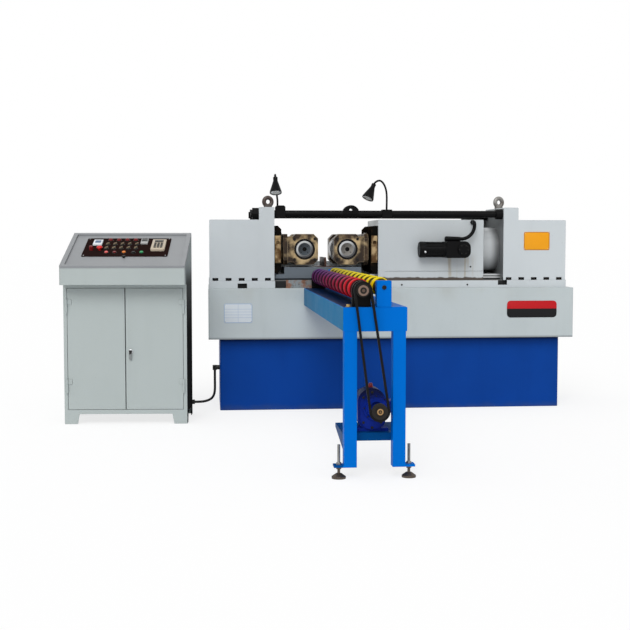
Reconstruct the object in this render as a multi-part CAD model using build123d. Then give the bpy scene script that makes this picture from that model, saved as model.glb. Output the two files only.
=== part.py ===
from build123d import *
import math
import os

# Thread rolling machine with its roller feed stand and its control desk, in millimetres.
# The origin is the centre of the machine's footprint on the floor.
# +X is to the operator's right, -Y is towards the operator and +Z is up.

# Common clearances and overruns
overrun = 5.0
seat_gap = 0.3
shaft_fit = 0.05
bar_fit = 0.05

# Base, bed and deck
bed_length = 2300.0
bed_depth = 760.0
bed_height = 314.0
bed_edge_radius = 8.0
base_height = 450.0
base_inset = 70.0
base_edge_radius = 14.0
deck_height = 47.0
deck_setback = 25.0
deck_end_margin = 4.0
deck_edge_radius = 4.0
edge_recess_width = 58.0
edge_recess_height = 30.0
edge_recess_depth = 30.0
left_recess_offset = 173.0
right_recess_offset = 24.0
chip_bay_depth = 36.0
chip_bay_margin = 4.0
chip_guard_thickness = 4.0
chip_guard_inset = 72.0
chip_guard_rise = 4.0

# Work axis, bay between the two heads and the fixed housings
work_axis_x = -417.0
axis_over_deck = 194.0
bay_half = 324.0
housing_length = 401.0
housing_depth = 480.0
housing_rise = 183.0
housing_setback = 30.0
housing_edge_radius = 7.0
riser_width = 95.0
riser_cap = 41.0
bolt_pocket_count = 5
bolt_pocket_pitch = 81.0
bolt_pocket_radius = 18.0
bolt_pocket_height = 17.0
bolt_pocket_inset = 36.0

# Rear cover over the transmission
cover_depth = 205.0
cover_height = 112.0
cover_chamfer = 45.0
cover_gap = 22.0
cover_end_inset = 60.0

# Tie bars, their nuts and the lifting eyes
tie_bar_radius = 21.5
tie_bar_rise = 37.0
tie_bar_inset = 46.0
tie_bar_stub = 9.0
tie_bar_socket = 60.0
hex_nut_length = 40.0
hex_nut_flats = 72.0
collar_length = 42.0
collar_radius = 32.0
bar_clip_length = 94.0
bar_clip_radius = 54.0
bar_clip_width = 52.0
bar_clip_offset = 156.0
clip_window_radius = 12.0
eye_ring_radius = 26.0
eye_bar_radius = 13.0
eye_collar_radius = 26.0
eye_collar_height = 14.0
eye_shift = 20.0
eye_turn = 18.0

# Lamps on the front tie bar
lamp_clamp_length = 62.0
lamp_clamp_width = 58.0
left_clamp_rise = 30.0
clamp_chamfer_share = 0.3
right_clamp_rise = 6.0
lamp_clamp_drop = 7.0
lamp_neck_radius = 6.0
lamp_head_radius = 37.0
lamp_head_tail_radius = 14.0
lamp_head_length = 104.0
lamp_tail_share = 0.22
lamp_lens_depth = 8.0
lamp_lens_margin = 4.0
right_lamp_x = -34.0
right_lamp_points = [(0.0, 118.0), (-14.0, 178.0), (-46.0, 208.0)]
right_lamp_end = (-80.0, 186.0)
right_lamp_lean = (-0.42, -0.25, -0.87)
left_lamp_inset = 8.0
left_lamp_lead = 30.0
left_lamp_shift = 16.0
left_lamp_setback = 46.0
left_lamp_arch = 240.0
left_lamp_drop = 17.0
left_lamp_lean_share = 0.4

# Swivel plates and tilting heads
swivel_plate_thickness = 44.0
swivel_plate_drop = 149.0
swivel_plate_rise = 146.0
swivel_plate_inset = 18.0
swivel_plate_chamfer = 22.0
plate_lug_height = 170.0
plate_lug_reach = 16.0
plate_lug_margin = 3.0
lug_round_share = 0.7
plate_lug_bore = 11.0
plate_lug_bore_rise = 42.0
plate_lug_bore_depth = 14.0
head_setback = 30.0
head_depth = 390.0
spindle_offset = 134.0
bearing_half_width = 84.0
bearing_half_height = 95.0
bearing_chamfer = 28.0
bearing_depth = 95.0
bearing_neck_length = 22.0
bearing_neck_half_height = 80.0
bearing_recess_radius = 65.0
bearing_recess_depth = 16.0
yoke_thickness = 26.0
pivot_flange_radius = 104.0
pivot_pin_radius = 40.0
pivot_pin_length = 34.0
pivot_ear_radius = 17.0
pivot_ear_length = 30.0
pivot_ear_angle = 52.0
spindle_radius = 40.0
spindle_nut_radius = 57.0
spindle_nut_length = 11.0
spindle_nose_chamfer = 3.0
spindle_centre_radius = 13.0
spindle_centre_depth = 26.0
spindle_pin_hole_radius = 4.5
spindle_pin_hole_circle = 27.0
spindle_pin_hole_depth = 14.0
spindle_pin_hole_count = 4
spindle_tail = 26.0
die_radius = 95.0
die_width = 150.0
die_chamfer = 5.0
spacer_radius = 52.0

# Saddle and work rest between the heads
saddle_gap = 16.0
saddle_step_height = 40.0
saddle_left_offset = 261.0
saddle_right_offset = 222.0
saddle_step_offset = 318.0
saddle_depth = 400.0
saddle_slot_height = 13.0
saddle_slot_depth = 30.0
rest_foot_width = 104.0
rest_foot_height = 4.0
rest_blade_thickness = 12.0
rest_blade_height = 56.0
rest_length = 330.0
rest_nose_drop = 30.0

# Moving carriage, its ways and the pressing ram
carriage_length = 668.0
carriage_rise = 184.0
carriage_edge_radius = 7.0
carriage_skirt_height = 55.0
carriage_skirt_groove = 3.0
way_width = 70.0
way_height = 37.0
way_spread = 260.0
way_overhang = 42.0
ram_radius = 139.0
ram_exposed = 128.0
ram_insert = 90.0
ram_bore_depth = 140.0
ram_fit = 0.08
ram_guard_reach = 163.0
ram_guard_lap = 57.0
ram_guard_gap = 6.0
ram_guard_thickness = 10.0
ram_guard_rise = 24.0
ram_collar_radius = 152.0
ram_collar_length = 26.0

# Feed gearmotor on the carriage's front
feed_axis_drop = 2.0
gearbox_left = 409.0
gearbox_length = 154.0
gearbox_height = 104.0
gearbox_depth = 108.0
gearbox_radius = 12.0
gearbox_end_radius = 40.0
gearbox_cover_radius = 34.0
gearbox_cover_length = 16.0
gearbox_cover_share = 0.69
feed_motor_radius = 50.0
feed_motor_length = 162.0
feed_motor_rib_count = 12
feed_motor_rib_depth = 6.0
feed_motor_rib_width = 5.0
feed_motor_flange = 12.0
feed_motor_cap_length = 40.0
feed_motor_edge = 6.0
conduit_radius = 11.0
conduit_start = 14.0
conduit_rise = 14.0
conduit_run = 174.0
conduit_climb = 104.0
conduit_foot_radius = 12.0
conduit_bend_radius = 84.0
conduit_entry_radius = 18.0

# Roller feed stand
stand_length = 2076.0
beam_width = 286.0
beam_over_bed = 2.0
beam_height = 108.0
beam_edge_radius = 5.0
leg_size = 57.0
leg_spread = 218.0
leg_bottom = 52.0
leg_gusset = 78.0
leg_gusset_thickness = 10.0
ear_thickness = 10.0
ear_length = 48.0
foot_spread = 316.0
foot_radius = 32.0
foot_height = 9.0
foot_cone_height = 14.0
foot_cone_radius = 13.0
foot_rod_radius = 6.5
foot_rod_top = 152.0
foot_nut_flats = 20.0
foot_nut_height = 10.0
shelf_top = 198.0
shelf_thickness = 8.0
shelf_depth = 300.0
shelf_flange_height = 36.0
shelf_gusset_thickness = 8.0

# Rollers, brackets and belt drive of the stand
red_roller_offset = -58.0
red_roller_rise = 74.0
red_ring_radius = 48.0
yellow_roller_offset = 39.0
yellow_roller_rise = 86.0
yellow_ring_radius = 42.0
ring_count = 12
red_ring_width = 114.0
yellow_ring_width = 90.0
ring_crown = 11.0
ring_crown_share = 0.3
roller_tube_radius = 30.0
roller_journal_radius = 12.5
roller_near_inset = 52.0
roller_far_inset = 62.0
bracket_thickness = 14.0
bracket_roller_gap = 8.0
red_bracket_width = 84.0
yellow_bracket_width = 66.0
yellow_bracket_rise = 30.0
yellow_bracket_depth = 46.0
bracket_foot_height = 12.0
pulley_radius = 30.0
pulley_width = 16.0
pulley_hub_radius = 24.0
pulley_hub_length = 9.0
pulley_overhang = 14.0
belt_width = 13.0
belt_thickness = 11.0
motor_pulley_radius = 36.0
motor_pulley_offset = 18.0
motor_axis_height = 305.0
motor_hub_radius = 17.0
reducer_width = 128.0
reducer_height = 196.0
reducer_depth = 96.0
reducer_rim = 8.0
reducer_setback = 96.0
reducer_foot_width = 150.0
reducer_foot_height = 14.0
motor_body_radius = 74.0
motor_body_length = 165.0
motor_body_rise = 16.0
motor_rib_count = 10
motor_rib_depth = 6.0
motor_rib_width = 9.0
terminal_box_width = 62.0
terminal_box_height = 54.0
terminal_box_length = 92.0
vent_plug_radius = 9.0
vent_plug_height = 16.0
motor_shaft_radius = 14.0

# Control desk
desk_x = -1627.0
desk_y = -793.0
desk_yaw = 3.5
desk_width = 706.0
desk_depth = 400.0
desk_sheet = 3.0
desk_body_top = 808.0
desk_rail_bottom = 58.0
desk_rail_top = 83.0
desk_top_rail = 21.0
desk_stile = 20.0
desk_foot_width = 74.0
desk_foot_flare = 12.0
desk_floor_height = 70.0
door_gap = 2.0
door_seam = 5.0
door_depth = 18.0
door_sheet = 2.0
door_front_gap = 0.5
door_edge_radius = 2.0
hinge_radius = 6.0
hinge_height = 52.0
hinge_inset = 2.0
hinge_end_offset = 96.0
hinge_pin_radius = 3.0
knuckle_radius = 5.5
knuckle_height = 30.0
hinge_leaf_width = 24.0
hinge_leaf_thickness = 2.0
lock_radius = 9.0
lock_length = 7.0
lock_handle_width = 14.0
lock_handle_height = 44.0
lock_offset = 29.0
lock_height = 420.0
console_overhang = 110.0
console_lip_top = 903.0
console_rear_top = 1092.0
lid_thickness = 14.0
lid_recess = 9.0
lid_rim = 26.0
panel_width = 496.0
panel_thickness = 4.0
panel_front_offset = 166.0
panel_rear_offset = 82.0
panel_shift = -8.0
latch_radius = 11.0
latch_height = 14.0
latch_gap = 16.0
lamp_button_radius = 11.0
push_button_radius = 9.5
knob_radius = 13.0
button_height = 12.0
knob_height = 17.0
stop_button_radius = 18.0
stop_button_height = 26.0
meter_width = 52.0
meter_height = 46.0
meter_depth = 10.0
counter_width = 44.0
counter_height = 30.0
keypad_width = 82.0
keypad_length = 168.0
keypad_height = 14.0
indicator_shares = [(-0.22, 0.36), (-0.12, 0.36), (-0.02, 0.36), (0.08, 0.36)]
selector_shares = [(-0.2, 0.02), (-0.08, 0.02), (0.04, 0.02), (0.16, 0.02), (0.24, -0.1)]
push_shares = [(-0.2, -0.36), (-0.04, -0.36), (0.07, -0.36), (0.16, -0.36)]
stop_share = (-0.31, -0.16)
twist_share = (-0.41, -0.16)
meter_share = (-0.35, 0.27)
counter_share = (0.2, 0.28)
keypad_share = (0.37, 0.05)

# Cable between the desk and the base
cable_radius = 7.5
gland_radius = 14.0
gland_length = 18.0
elbow_reach = 32.0
elbow_height = 30.0
desk_gland_inset = 50.0
desk_gland_height = 78.0
base_gland_y = -278.0
base_gland_height = 252.0
cable_lead = 40.0
cable_run_share = 0.45
cable_points = [
    (-1160.0, -453.0, 82.0),
    (-1132.0, -423.0, 92.0),
    (-1117.0, -377.0, 110.0),
    (-1112.0, -327.0, 138.0),
    (-1112.0, -294.0, 173.0),
    (-1112.0, -278.0, 212.0),
]

# Places worked out from the sizes above
bed_front = -bed_depth / 2
bed_rear = bed_depth / 2
bed_top = base_height + bed_height
deck_top = bed_top + deck_height
housing_front = bed_front + housing_setback
housing_rear = housing_front + housing_depth
cross_mid = (housing_front + housing_rear) / 2
axis_height = deck_top + axis_over_deck
housing_top = axis_height + housing_rise
tie_bar_height = housing_top + tie_bar_rise
riser_top = tie_bar_height + riser_cap
saddle_top = axis_height - bearing_half_height - saddle_gap
swivel_plate_bottom = axis_height - swivel_plate_drop
swivel_plate_top = axis_height + swivel_plate_rise
feed_axis_height = axis_height - feed_axis_drop
left_inner = work_axis_x - bay_half
left_outer = left_inner - housing_length
carriage_left = work_axis_x + bay_half
carriage_right = carriage_left + carriage_length
carriage_top = axis_height + carriage_rise
right_inner = carriage_right + ram_exposed
right_outer = right_inner + housing_length
tie_bar_ys = (housing_front + tie_bar_inset, housing_rear - tie_bar_inset)
head_front = housing_front + head_setback
head_rear = head_front + head_depth
head_mid = (head_front + head_rear) / 2
stand_front = bed_front - stand_length
beam_top = bed_top + beam_over_bed
red_axis = (work_axis_x + red_roller_offset, beam_top + red_roller_rise)
yellow_axis = (work_axis_x + yellow_roller_offset, beam_top + yellow_roller_rise)
motor_axis = (work_axis_x + motor_pulley_offset, motor_axis_height)
desk_place = Pos(desk_x, desk_y, 0) * Rot(0, 0, -desk_yaw)
lid_run = desk_depth + console_overhang
lid_slope = math.degrees(math.atan2(console_rear_top - console_lip_top, lid_run))
lid_length = math.hypot(console_rear_top - console_lip_top, lid_run)
lid_place = desk_place * Pos(0, -console_overhang, console_lip_top) * Rot(lid_slope, 0, 0)
panel_length = lid_length - panel_front_offset - panel_rear_offset
desk_gland_depth = desk_depth - desk_gland_inset


def span_box(x, y, z):
    """Box from (low, high) pairs along each axis."""
    middle = [sum(pair) / 2 for pair in (x, y, z)]
    lengths = [pair[1] - pair[0] for pair in (x, y, z)]
    return Pos(*middle) * Box(*lengths)


def rod_x(radius, x, y, z):
    """Round bar along X, with x a (low, high) pair."""
    return Pos(sum(x) / 2, y, z) * Rot(0, 90, 0) * Cylinder(radius, x[1] - x[0])


def rod_y(radius, x, y, z):
    """Round bar along Y, with y a (low, high) pair."""
    return Pos(x, sum(y) / 2, z) * Rot(90, 0, 0) * Cylinder(radius, y[1] - y[0])


def rod_z(radius, x, y, z):
    """Round bar along Z, with z a (low, high) pair."""
    return Pos(x, y, sum(z) / 2) * Cylinder(radius, z[1] - z[0])


def prism(points, travel):
    """Flat outline of 3-D points, carried along the vector travel."""
    face = make_face(Polyline(*points, close=True))
    return extrude(face, amount=Vector(*travel).length, dir=travel)


def rounded(solid, axis, radius):
    """Solid with its edges along one axis rounded."""
    return fillet(solid.edges().filter_by(axis), radius)


def hex_x(flats, x, y, z):
    """Hexagonal bar along X, across flats, with x a (low, high) pair."""
    section = Plane.YZ * RegularPolygon(flats / math.sqrt(3), 6)
    return Pos(x[0], y, z) * extrude(section, amount=x[1] - x[0], dir=(1, 0, 0))


def turned_y(profile, x, z):
    """Solid turned about an axis along Y from (radius, y) points."""
    points = [(x + radius, y, z) for radius, y in profile]
    face = make_face(Polyline(*points, close=True))
    return revolve(face, axis=Axis((x, 0, z), (0, 1, 0)))


def swept(path, radius):
    """Round tube along a path."""
    section = Plane(path @ 0, z_dir=path % 0) * Circle(radius)
    return sweep(section, path)


def group(*solids):
    """Separate solids that share one node."""
    return Compound(children=[Compound(part.solids()) for part in solids])


# Base, bed and deck

def make_base():
    half = bed_length / 2 - base_inset
    block = span_box((-half, half), (bed_front + base_inset, bed_rear - base_inset), (0, base_height))
    return rounded(block, Axis.Z, base_edge_radius)


def make_bed():
    half = bed_length / 2
    block = span_box((-half, half), (bed_front, bed_rear), (base_height, bed_top))
    block = rounded(block, Axis.Z, bed_edge_radius)
    return fillet(block.faces().sort_by(Axis.Z)[-1].edges(), bed_edge_radius / 2)


def make_deck():
    front = bed_front + deck_setback
    x = (left_outer - deck_end_margin, right_outer + deck_end_margin)
    block = span_box(x, (front, bed_rear - deck_setback), (bed_top, deck_top))
    block = rounded(block, Axis.Z, deck_edge_radius)
    bay = (left_inner + chip_bay_margin, carriage_left - swivel_plate_thickness)
    block -= span_box(bay, (front - overrun, front + chip_bay_depth), (bed_top - overrun, deck_top + overrun))
    slot_y = (front - overrun, front + edge_recess_depth)
    left_recess = left_outer + left_recess_offset
    block -= span_box((left_recess, left_recess + edge_recess_width), slot_y,
                      (bed_top - overrun, bed_top + edge_recess_height))
    right_recess = right_inner - edge_recess_width + right_recess_offset
    block -= span_box((right_recess, right_recess + edge_recess_width), slot_y,
                      (deck_top - edge_recess_height, deck_top + overrun))
    return block


def make_chip_guard():
    front = bed_front + deck_setback
    x = (left_inner + chip_guard_inset, carriage_left - chip_guard_inset)
    y = (front + chip_guard_thickness, front + 2 * chip_guard_thickness)
    z = (bed_top, deck_top + chip_guard_rise)
    sheet = span_box(x, y, z)
    flange = span_box(x, (y[1], front + chip_bay_depth), (bed_top, bed_top + chip_guard_thickness))
    return sheet + flange


# Fixed housings

def housing_body(x):
    """Box of a housing with its upper edges rounded and half-round pockets for the clamp bolts."""
    body = span_box(x, (housing_front, housing_rear), (deck_top, housing_top))
    outer = x[0] if x[0] < work_axis_x else x[1]
    tops = [edge for edge in body.edges().filter_by(Axis.Y) if abs(edge.center().X - outer) < overrun]
    body = fillet(ShapeList(tops).sort_by(Axis.Z)[-1], housing_edge_radius)
    for index in range(bolt_pocket_count):
        centre = x[0] + bolt_pocket_inset + index * bolt_pocket_pitch
        pocket = (deck_top - overrun, deck_top + bolt_pocket_height)
        body -= rod_z(bolt_pocket_radius, centre, housing_front, pocket)
    return body


def riser(x):
    """Raised block that carries the tie bars on a housing's inner end."""
    block = span_box(x, (housing_front, housing_rear), (housing_top, riser_top))
    return fillet(block.faces().sort_by(Axis.Z)[-1].edges().filter_by(Axis.Y), housing_edge_radius)


def make_left_housing():
    top = riser((left_inner - riser_width, left_inner))
    for y in tie_bar_ys:
        hole = (left_inner - riser_width - overrun, left_inner + overrun)
        top -= rod_x(tie_bar_radius + bar_fit, hole, y, tie_bar_height)
    return group(housing_body((left_outer, left_inner)), top)


def make_right_housing():
    top = riser((right_inner, right_inner + riser_width))
    for y in tie_bar_ys:
        hole = (right_inner - overrun, right_inner + tie_bar_socket)
        top -= rod_x(tie_bar_radius + bar_fit, hole, y, tie_bar_height)
    bore = (right_inner - overrun, right_inner + ram_bore_depth)
    body = housing_body((right_inner, right_outer))
    body -= rod_x(ram_radius + ram_fit, bore, cross_mid, axis_height)
    return group(body, top, *ram_guard())


def ram_guard():
    """Plate behind the ram and the strip that holds it on the right housing's rear."""
    z = (deck_top, housing_top + ram_guard_rise)
    lap = right_inner + ram_guard_lap
    front = housing_rear + ram_guard_gap
    strip = span_box((right_inner, lap), (housing_rear, front), (deck_top, housing_top))
    plate = span_box((right_inner - ram_guard_reach, lap), (front, front + ram_guard_thickness), z)
    return strip, plate


def make_rear_cover():
    x = (left_outer + cover_end_inset, right_inner - cover_end_inset)
    low = housing_rear + cover_gap
    high = low + cover_depth
    top = deck_top + cover_height
    points = [
        (x[0], low, deck_top),
        (x[0], high, deck_top),
        (x[0], high, top - cover_chamfer),
        (x[0], high - cover_chamfer, top),
        (x[0], low, top),
    ]
    return prism(points, (x[1] - x[0], 0, 0))


# Tie bars, nuts, clamps and lifting eyes

def make_tie_bars():
    x = (left_inner - riser_width - hex_nut_length - tie_bar_stub, right_inner + tie_bar_socket - bar_fit)
    return group(*[rod_x(tie_bar_radius, x, y, tie_bar_height) for y in tie_bar_ys])


def make_tie_bar_nuts():
    nuts = []
    outer = left_inner - riser_width
    for y in tie_bar_ys:
        hole = (outer - hex_nut_length - overrun, right_inner + overrun)
        bore = rod_x(tie_bar_radius + bar_fit, hole, y, tie_bar_height)
        nuts.append(hex_x(hex_nut_flats, (outer - hex_nut_length, outer), y, tie_bar_height) - bore)
        collar = rod_x(collar_radius, (right_inner - collar_length, right_inner), y, tie_bar_height)
        nuts.append(collar - bore)
    return group(*nuts)


def bar_bore(x, y):
    return rod_x(tie_bar_radius + bar_fit, (x[0] - overrun, x[1] + overrun), y, tie_bar_height)


def make_bar_clip():
    """Round-topped clip on the front tie bar, right of the work axis."""
    y = tie_bar_ys[0]
    centre = work_axis_x + bar_clip_offset
    x = (centre - bar_clip_length / 2, centre + bar_clip_length / 2)
    width = (y - bar_clip_width / 2, y + bar_clip_width / 2)
    dome = rod_y(bar_clip_radius, centre, width, tie_bar_height)
    foot = span_box(x, width, (tie_bar_height - tie_bar_radius - bar_clip_radius, tie_bar_height))
    limits = span_box(x, width, (tie_bar_height, tie_bar_height + bar_clip_radius))
    window = rod_y(clip_window_radius, centre, width, tie_bar_height + tie_bar_radius)
    return (dome & limits) - foot - window - bar_bore(x, y)


def lamp_clamp(centre, rise):
    """Clamp block that holds a lamp's neck on the front tie bar."""
    y = tie_bar_ys[0]
    x = (centre - lamp_clamp_length / 2, centre + lamp_clamp_length / 2)
    low = tie_bar_height - tie_bar_radius - lamp_clamp_drop
    block = span_box(x, (y - lamp_clamp_width / 2, y + lamp_clamp_width / 2), (low, clamp_top(rise)))
    top_edges = block.faces().sort_by(Axis.Z)[-1].edges().filter_by(Axis.Y)
    block = chamfer(top_edges, rise * clamp_chamfer_share)
    return block - bar_bore(x, y)


def clamp_top(rise):
    return tie_bar_height + tie_bar_radius + rise


left_clamp_x = left_inner + left_lamp_inset + lamp_clamp_length / 2


def make_lamp_clamps():
    return group(lamp_clamp(left_clamp_x, left_clamp_rise), lamp_clamp(right_lamp_x, right_clamp_rise))


def right_lamp_path():
    """Gooseneck that rises from its clamp and arches over to the left."""
    y = tie_bar_ys[0]
    points = [(right_lamp_x, y, clamp_top(right_clamp_rise))]
    for along, rise in (*right_lamp_points, right_lamp_end):
        points.append((right_lamp_x + along, y, tie_bar_height + rise))
    return Spline(*points, tangents=[(0, 0, 1), right_lamp_lean])


def left_lamp_path():
    """Gooseneck that rises behind its lamp's head and bends forward into it."""
    y = tie_bar_ys[0]
    x = left_clamp_x - lamp_clamp_length / 4
    top = tie_bar_height + left_lamp_arch
    back = y + left_lamp_setback / 2
    front = y - left_lamp_setback / 2
    foot = clamp_top(left_clamp_rise)
    points = [
        (x, back, foot),
        (x, back, foot + left_lamp_lead),
        (x - left_lamp_shift, back, top),
        (x - left_lamp_shift, front, top),
        (x - left_lamp_shift, front - left_lamp_lean_share * left_lamp_drop, top - left_lamp_drop),
    ]
    bend = left_lamp_setback / 3
    return FilletPolyline(*points, radius=[left_lamp_lead / 2, bend, bend])


def lamp_head_place(path):
    """Frame at the hanging end of a neck, with its Z along the head towards the lens."""
    return Plane(path @ 1, z_dir=path % 1)


def lamp_head(place):
    tail = lamp_head_length * lamp_tail_share
    points = [
        (0, 0),
        (lamp_head_tail_radius, 0),
        (lamp_head_tail_radius, tail),
        (lamp_head_radius, lamp_head_length - lamp_lens_depth),
        (lamp_head_radius, lamp_head_length),
        (lamp_head_radius - lamp_lens_margin, lamp_head_length),
        (lamp_head_radius - lamp_lens_margin, lamp_head_length - lamp_lens_depth),
        (0, lamp_head_length - lamp_lens_depth),
    ]
    outline = make_face(Polyline(*[(radius, 0, along) for radius, along in points], close=True))
    return place.location * revolve(outline, axis=Axis.Z)


def lamp_lens(place):
    half = lamp_lens_depth / 2
    lens = Cylinder(lamp_head_radius - lamp_lens_margin - shaft_fit, half)
    return place.location * Pos(0, 0, lamp_head_length - lamp_lens_depth + half / 2) * lens


def lamp_places():
    return [lamp_head_place(path) for path in (left_lamp_path(), right_lamp_path())]


def make_lamp_necks():
    return group(*[swept(path, lamp_neck_radius) for path in (left_lamp_path(), right_lamp_path())])


def make_lamp_heads():
    return group(*[lamp_head(place) for place in lamp_places()])


def make_lamp_lenses():
    return group(*[lamp_lens(place) for place in lamp_places()])


def lifting_eye(x):
    """Eye bolt: a round collar on the riser and a ring above it."""
    ring_height = riser_top + eye_collar_height + eye_ring_radius
    collar = rod_z(eye_collar_radius, 0, 0, (riser_top, riser_top + eye_collar_height + eye_bar_radius / 2))
    ring = Pos(0, 0, ring_height) * Rot(90, 0, 0) * Torus(eye_ring_radius, eye_bar_radius)
    collar -= Pos(0, 0, ring_height) * Rot(90, 0, 0) * Cylinder(eye_ring_radius, 4 * eye_collar_radius)
    return Pos(x, cross_mid, 0) * Rot(0, 0, eye_turn) * (collar + ring)


def make_lifting_eyes():
    left = left_inner - riser_width / 2 + eye_shift
    right = right_inner + riser_width / 2 - eye_shift
    return group(lifting_eye(left), lifting_eye(right))


# Swivel plates and tilting heads. Side is -1 for the left head and +1 for the right one.

def across(side, low, high):
    """(low, high) pair along X for distances from the work axis."""
    ends = (work_axis_x + side * low, work_axis_x + side * high)
    return (min(ends), max(ends))


plate_face = bay_half - swivel_plate_thickness
bearing_outer = spindle_offset + bearing_half_width
neck_outer = bearing_outer + bearing_neck_length
yoke_outer = neck_outer + yoke_thickness
flange_outer = plate_face - seat_gap


def make_swivel_plate(side):
    y = (housing_front + swivel_plate_inset, housing_rear - swivel_plate_inset)
    plate = span_box(across(side, plate_face, bay_half), y, (swivel_plate_bottom, swivel_plate_top))
    inner = plate.faces().sort_by(Axis.X)[-1 if side < 0 else 0]
    plate = chamfer(inner.edges().filter_by(Axis.Y), swivel_plate_chamfer)
    hole = across(side, plate_face - overrun, bay_half - overrun)
    plate -= rod_x(pivot_pin_radius + shaft_fit, hole, head_mid, axis_height)
    return plate + plate_lug(side, y[0])


def plate_lug(side, rear):
    """Round-ended lug with a bolt hole on a swivel plate's front edge."""
    x = across(side, plate_face + plate_lug_margin, bay_half - plate_lug_margin)
    y = (rear - plate_lug_reach, rear)
    half = plate_lug_height / 2
    lug = span_box(x, y, (axis_height - half, axis_height + half))
    front = lug.faces().sort_by(Axis.Y)[0]
    lug = fillet(front.edges(), plate_lug_reach * lug_round_share)
    middle = sum(x) / 2
    bore_y = (y[0] - overrun, y[0] + plate_lug_bore_depth)
    return lug - rod_y(plate_lug_bore, middle, bore_y, axis_height + plate_lug_bore_rise)


def make_yoke(side):
    """Tilting back plate of a head, with its round flange, clamp ears and pivot pin."""
    z = (axis_height - bearing_half_height, axis_height + bearing_half_height)
    plate = span_box(across(side, neck_outer, yoke_outer), (head_front, head_rear), z)
    plate = chamfer(plate.edges().filter_by(Axis.X), bearing_chamfer)
    plate += rod_x(pivot_flange_radius, across(side, yoke_outer, flange_outer), head_mid, axis_height)
    for angle in (pivot_ear_angle, 180 - pivot_ear_angle, 180 + pivot_ear_angle, 360 - pivot_ear_angle):
        reach = pivot_flange_radius - pivot_ear_radius
        y = head_mid + reach * math.cos(math.radians(angle))
        z = axis_height + reach * math.sin(math.radians(angle))
        plate += rod_x(pivot_ear_radius, across(side, flange_outer - pivot_ear_length, flange_outer), y, z)
    pin = across(side, flange_outer, plate_face + pivot_pin_length)
    return plate + rod_x(pivot_pin_radius, pin, head_mid, axis_height)


def make_bearing(side, front):
    """Eight-sided bearing housing with a neck to the yoke; the front one is open at its face."""
    y = (head_front, head_front + bearing_depth) if front else (head_rear - bearing_depth, head_rear)
    centre = work_axis_x + side * spindle_offset
    x = (centre - bearing_half_width, centre + bearing_half_width)
    z = (axis_height - bearing_half_height, axis_height + bearing_half_height)
    block = chamfer(span_box(x, y, z).edges().filter_by(Axis.Y), bearing_chamfer)
    neck_z = (axis_height - bearing_neck_half_height, axis_height + bearing_neck_half_height)
    block += span_box(across(side, bearing_outer - bearing_chamfer, neck_outer), y, neck_z)
    block -= rod_y(spindle_radius + shaft_fit, centre, (y[0] - overrun, y[1] + overrun), axis_height)
    if front:
        recess = (y[0] - overrun, y[0] + bearing_recess_depth)
        block -= rod_y(bearing_recess_radius, centre, recess, axis_height)
    return block


def make_spindle(side):
    """Turned spindle with its lock nut in the front recess, spacers beside the die and a plain tail."""
    centre = work_axis_x + side * spindle_offset
    nose = head_front + bearing_recess_depth - spindle_nut_length - seat_gap
    nut_rear = nose + spindle_nut_length
    near = head_front + bearing_depth + seat_gap
    far = head_rear - bearing_depth - seat_gap
    die_near = head_mid - die_width / 2
    die_far = head_mid + die_width / 2
    tail = head_rear + spindle_tail
    profile = [
        (0, nose + spindle_centre_depth),
        (spindle_centre_radius, nose + spindle_centre_depth),
        (spindle_centre_radius, nose),
        (spindle_nut_radius - spindle_nose_chamfer, nose),
        (spindle_nut_radius, nose + spindle_nose_chamfer),
        (spindle_nut_radius, nut_rear),
        (spindle_radius, nut_rear),
        (spindle_radius, near),
        (spacer_radius, near),
        (spacer_radius, die_near),
        (spindle_radius, die_near),
        (spindle_radius, die_far),
        (spacer_radius, die_far),
        (spacer_radius, far),
        (spindle_radius, far),
        (spindle_radius, tail - spindle_nose_chamfer),
        (spindle_radius - spindle_nose_chamfer, tail),
        (0, tail),
    ]
    spindle = turned_y(profile, centre, axis_height)
    for index in range(spindle_pin_hole_count):
        angle = math.radians(360 / spindle_pin_hole_count * (index + 1 / 2))
        x = centre + spindle_pin_hole_circle * math.cos(angle)
        z = axis_height + spindle_pin_hole_circle * math.sin(angle)
        spindle -= rod_y(spindle_pin_hole_radius, x, (nose - overrun, nose + spindle_pin_hole_depth), z)
    return spindle


def make_die(side):
    """Round rolling die on the spindle, between its spacers."""
    centre = work_axis_x + side * spindle_offset
    near = head_mid - die_width / 2
    far = head_mid + die_width / 2
    profile = [
        (spindle_radius, near),
        (die_radius - die_chamfer, near),
        (die_radius, near + die_chamfer),
        (die_radius, far - die_chamfer),
        (die_radius - die_chamfer, far),
        (spindle_radius, far),
    ]
    return turned_y(profile, centre, axis_height)


# Saddle and work rest

def make_saddle():
    y = (bed_front + deck_setback + chip_bay_depth, bed_front + deck_setback + chip_bay_depth + saddle_depth)
    x = (work_axis_x - saddle_left_offset, work_axis_x + saddle_right_offset)
    block = span_box(x, y, (deck_top, saddle_top))
    step = (work_axis_x - saddle_step_offset, x[0])
    block += span_box(step, y, (deck_top, deck_top + saddle_step_height))
    slot_y = (y[0] - overrun, y[0] + saddle_slot_depth)
    slot_z = (deck_top - overrun, deck_top + saddle_slot_height)
    slot = span_box((step[0] - overrun, x[1] + overrun), slot_y, slot_z)
    return block - slot


def make_work_rest():
    half = rest_foot_width / 2
    y = (head_mid - rest_length / 2, head_mid + rest_length / 2)
    top = saddle_top + rest_foot_height
    foot = span_box((work_axis_x - half, work_axis_x + half), y, (saddle_top, top))
    blade_top = top + rest_blade_height
    low_x = work_axis_x - rest_blade_thickness / 2
    points = [
        (low_x, y[0], top - rest_foot_height),
        (low_x, y[1], top - rest_foot_height),
        (low_x, y[1], blade_top),
        (low_x, y[0] + rest_nose_drop, blade_top),
        (low_x, y[0], blade_top - rest_nose_drop),
    ]
    return foot + prism(points, (rest_blade_thickness, 0, 0))


# Carriage, ways and ram

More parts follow.
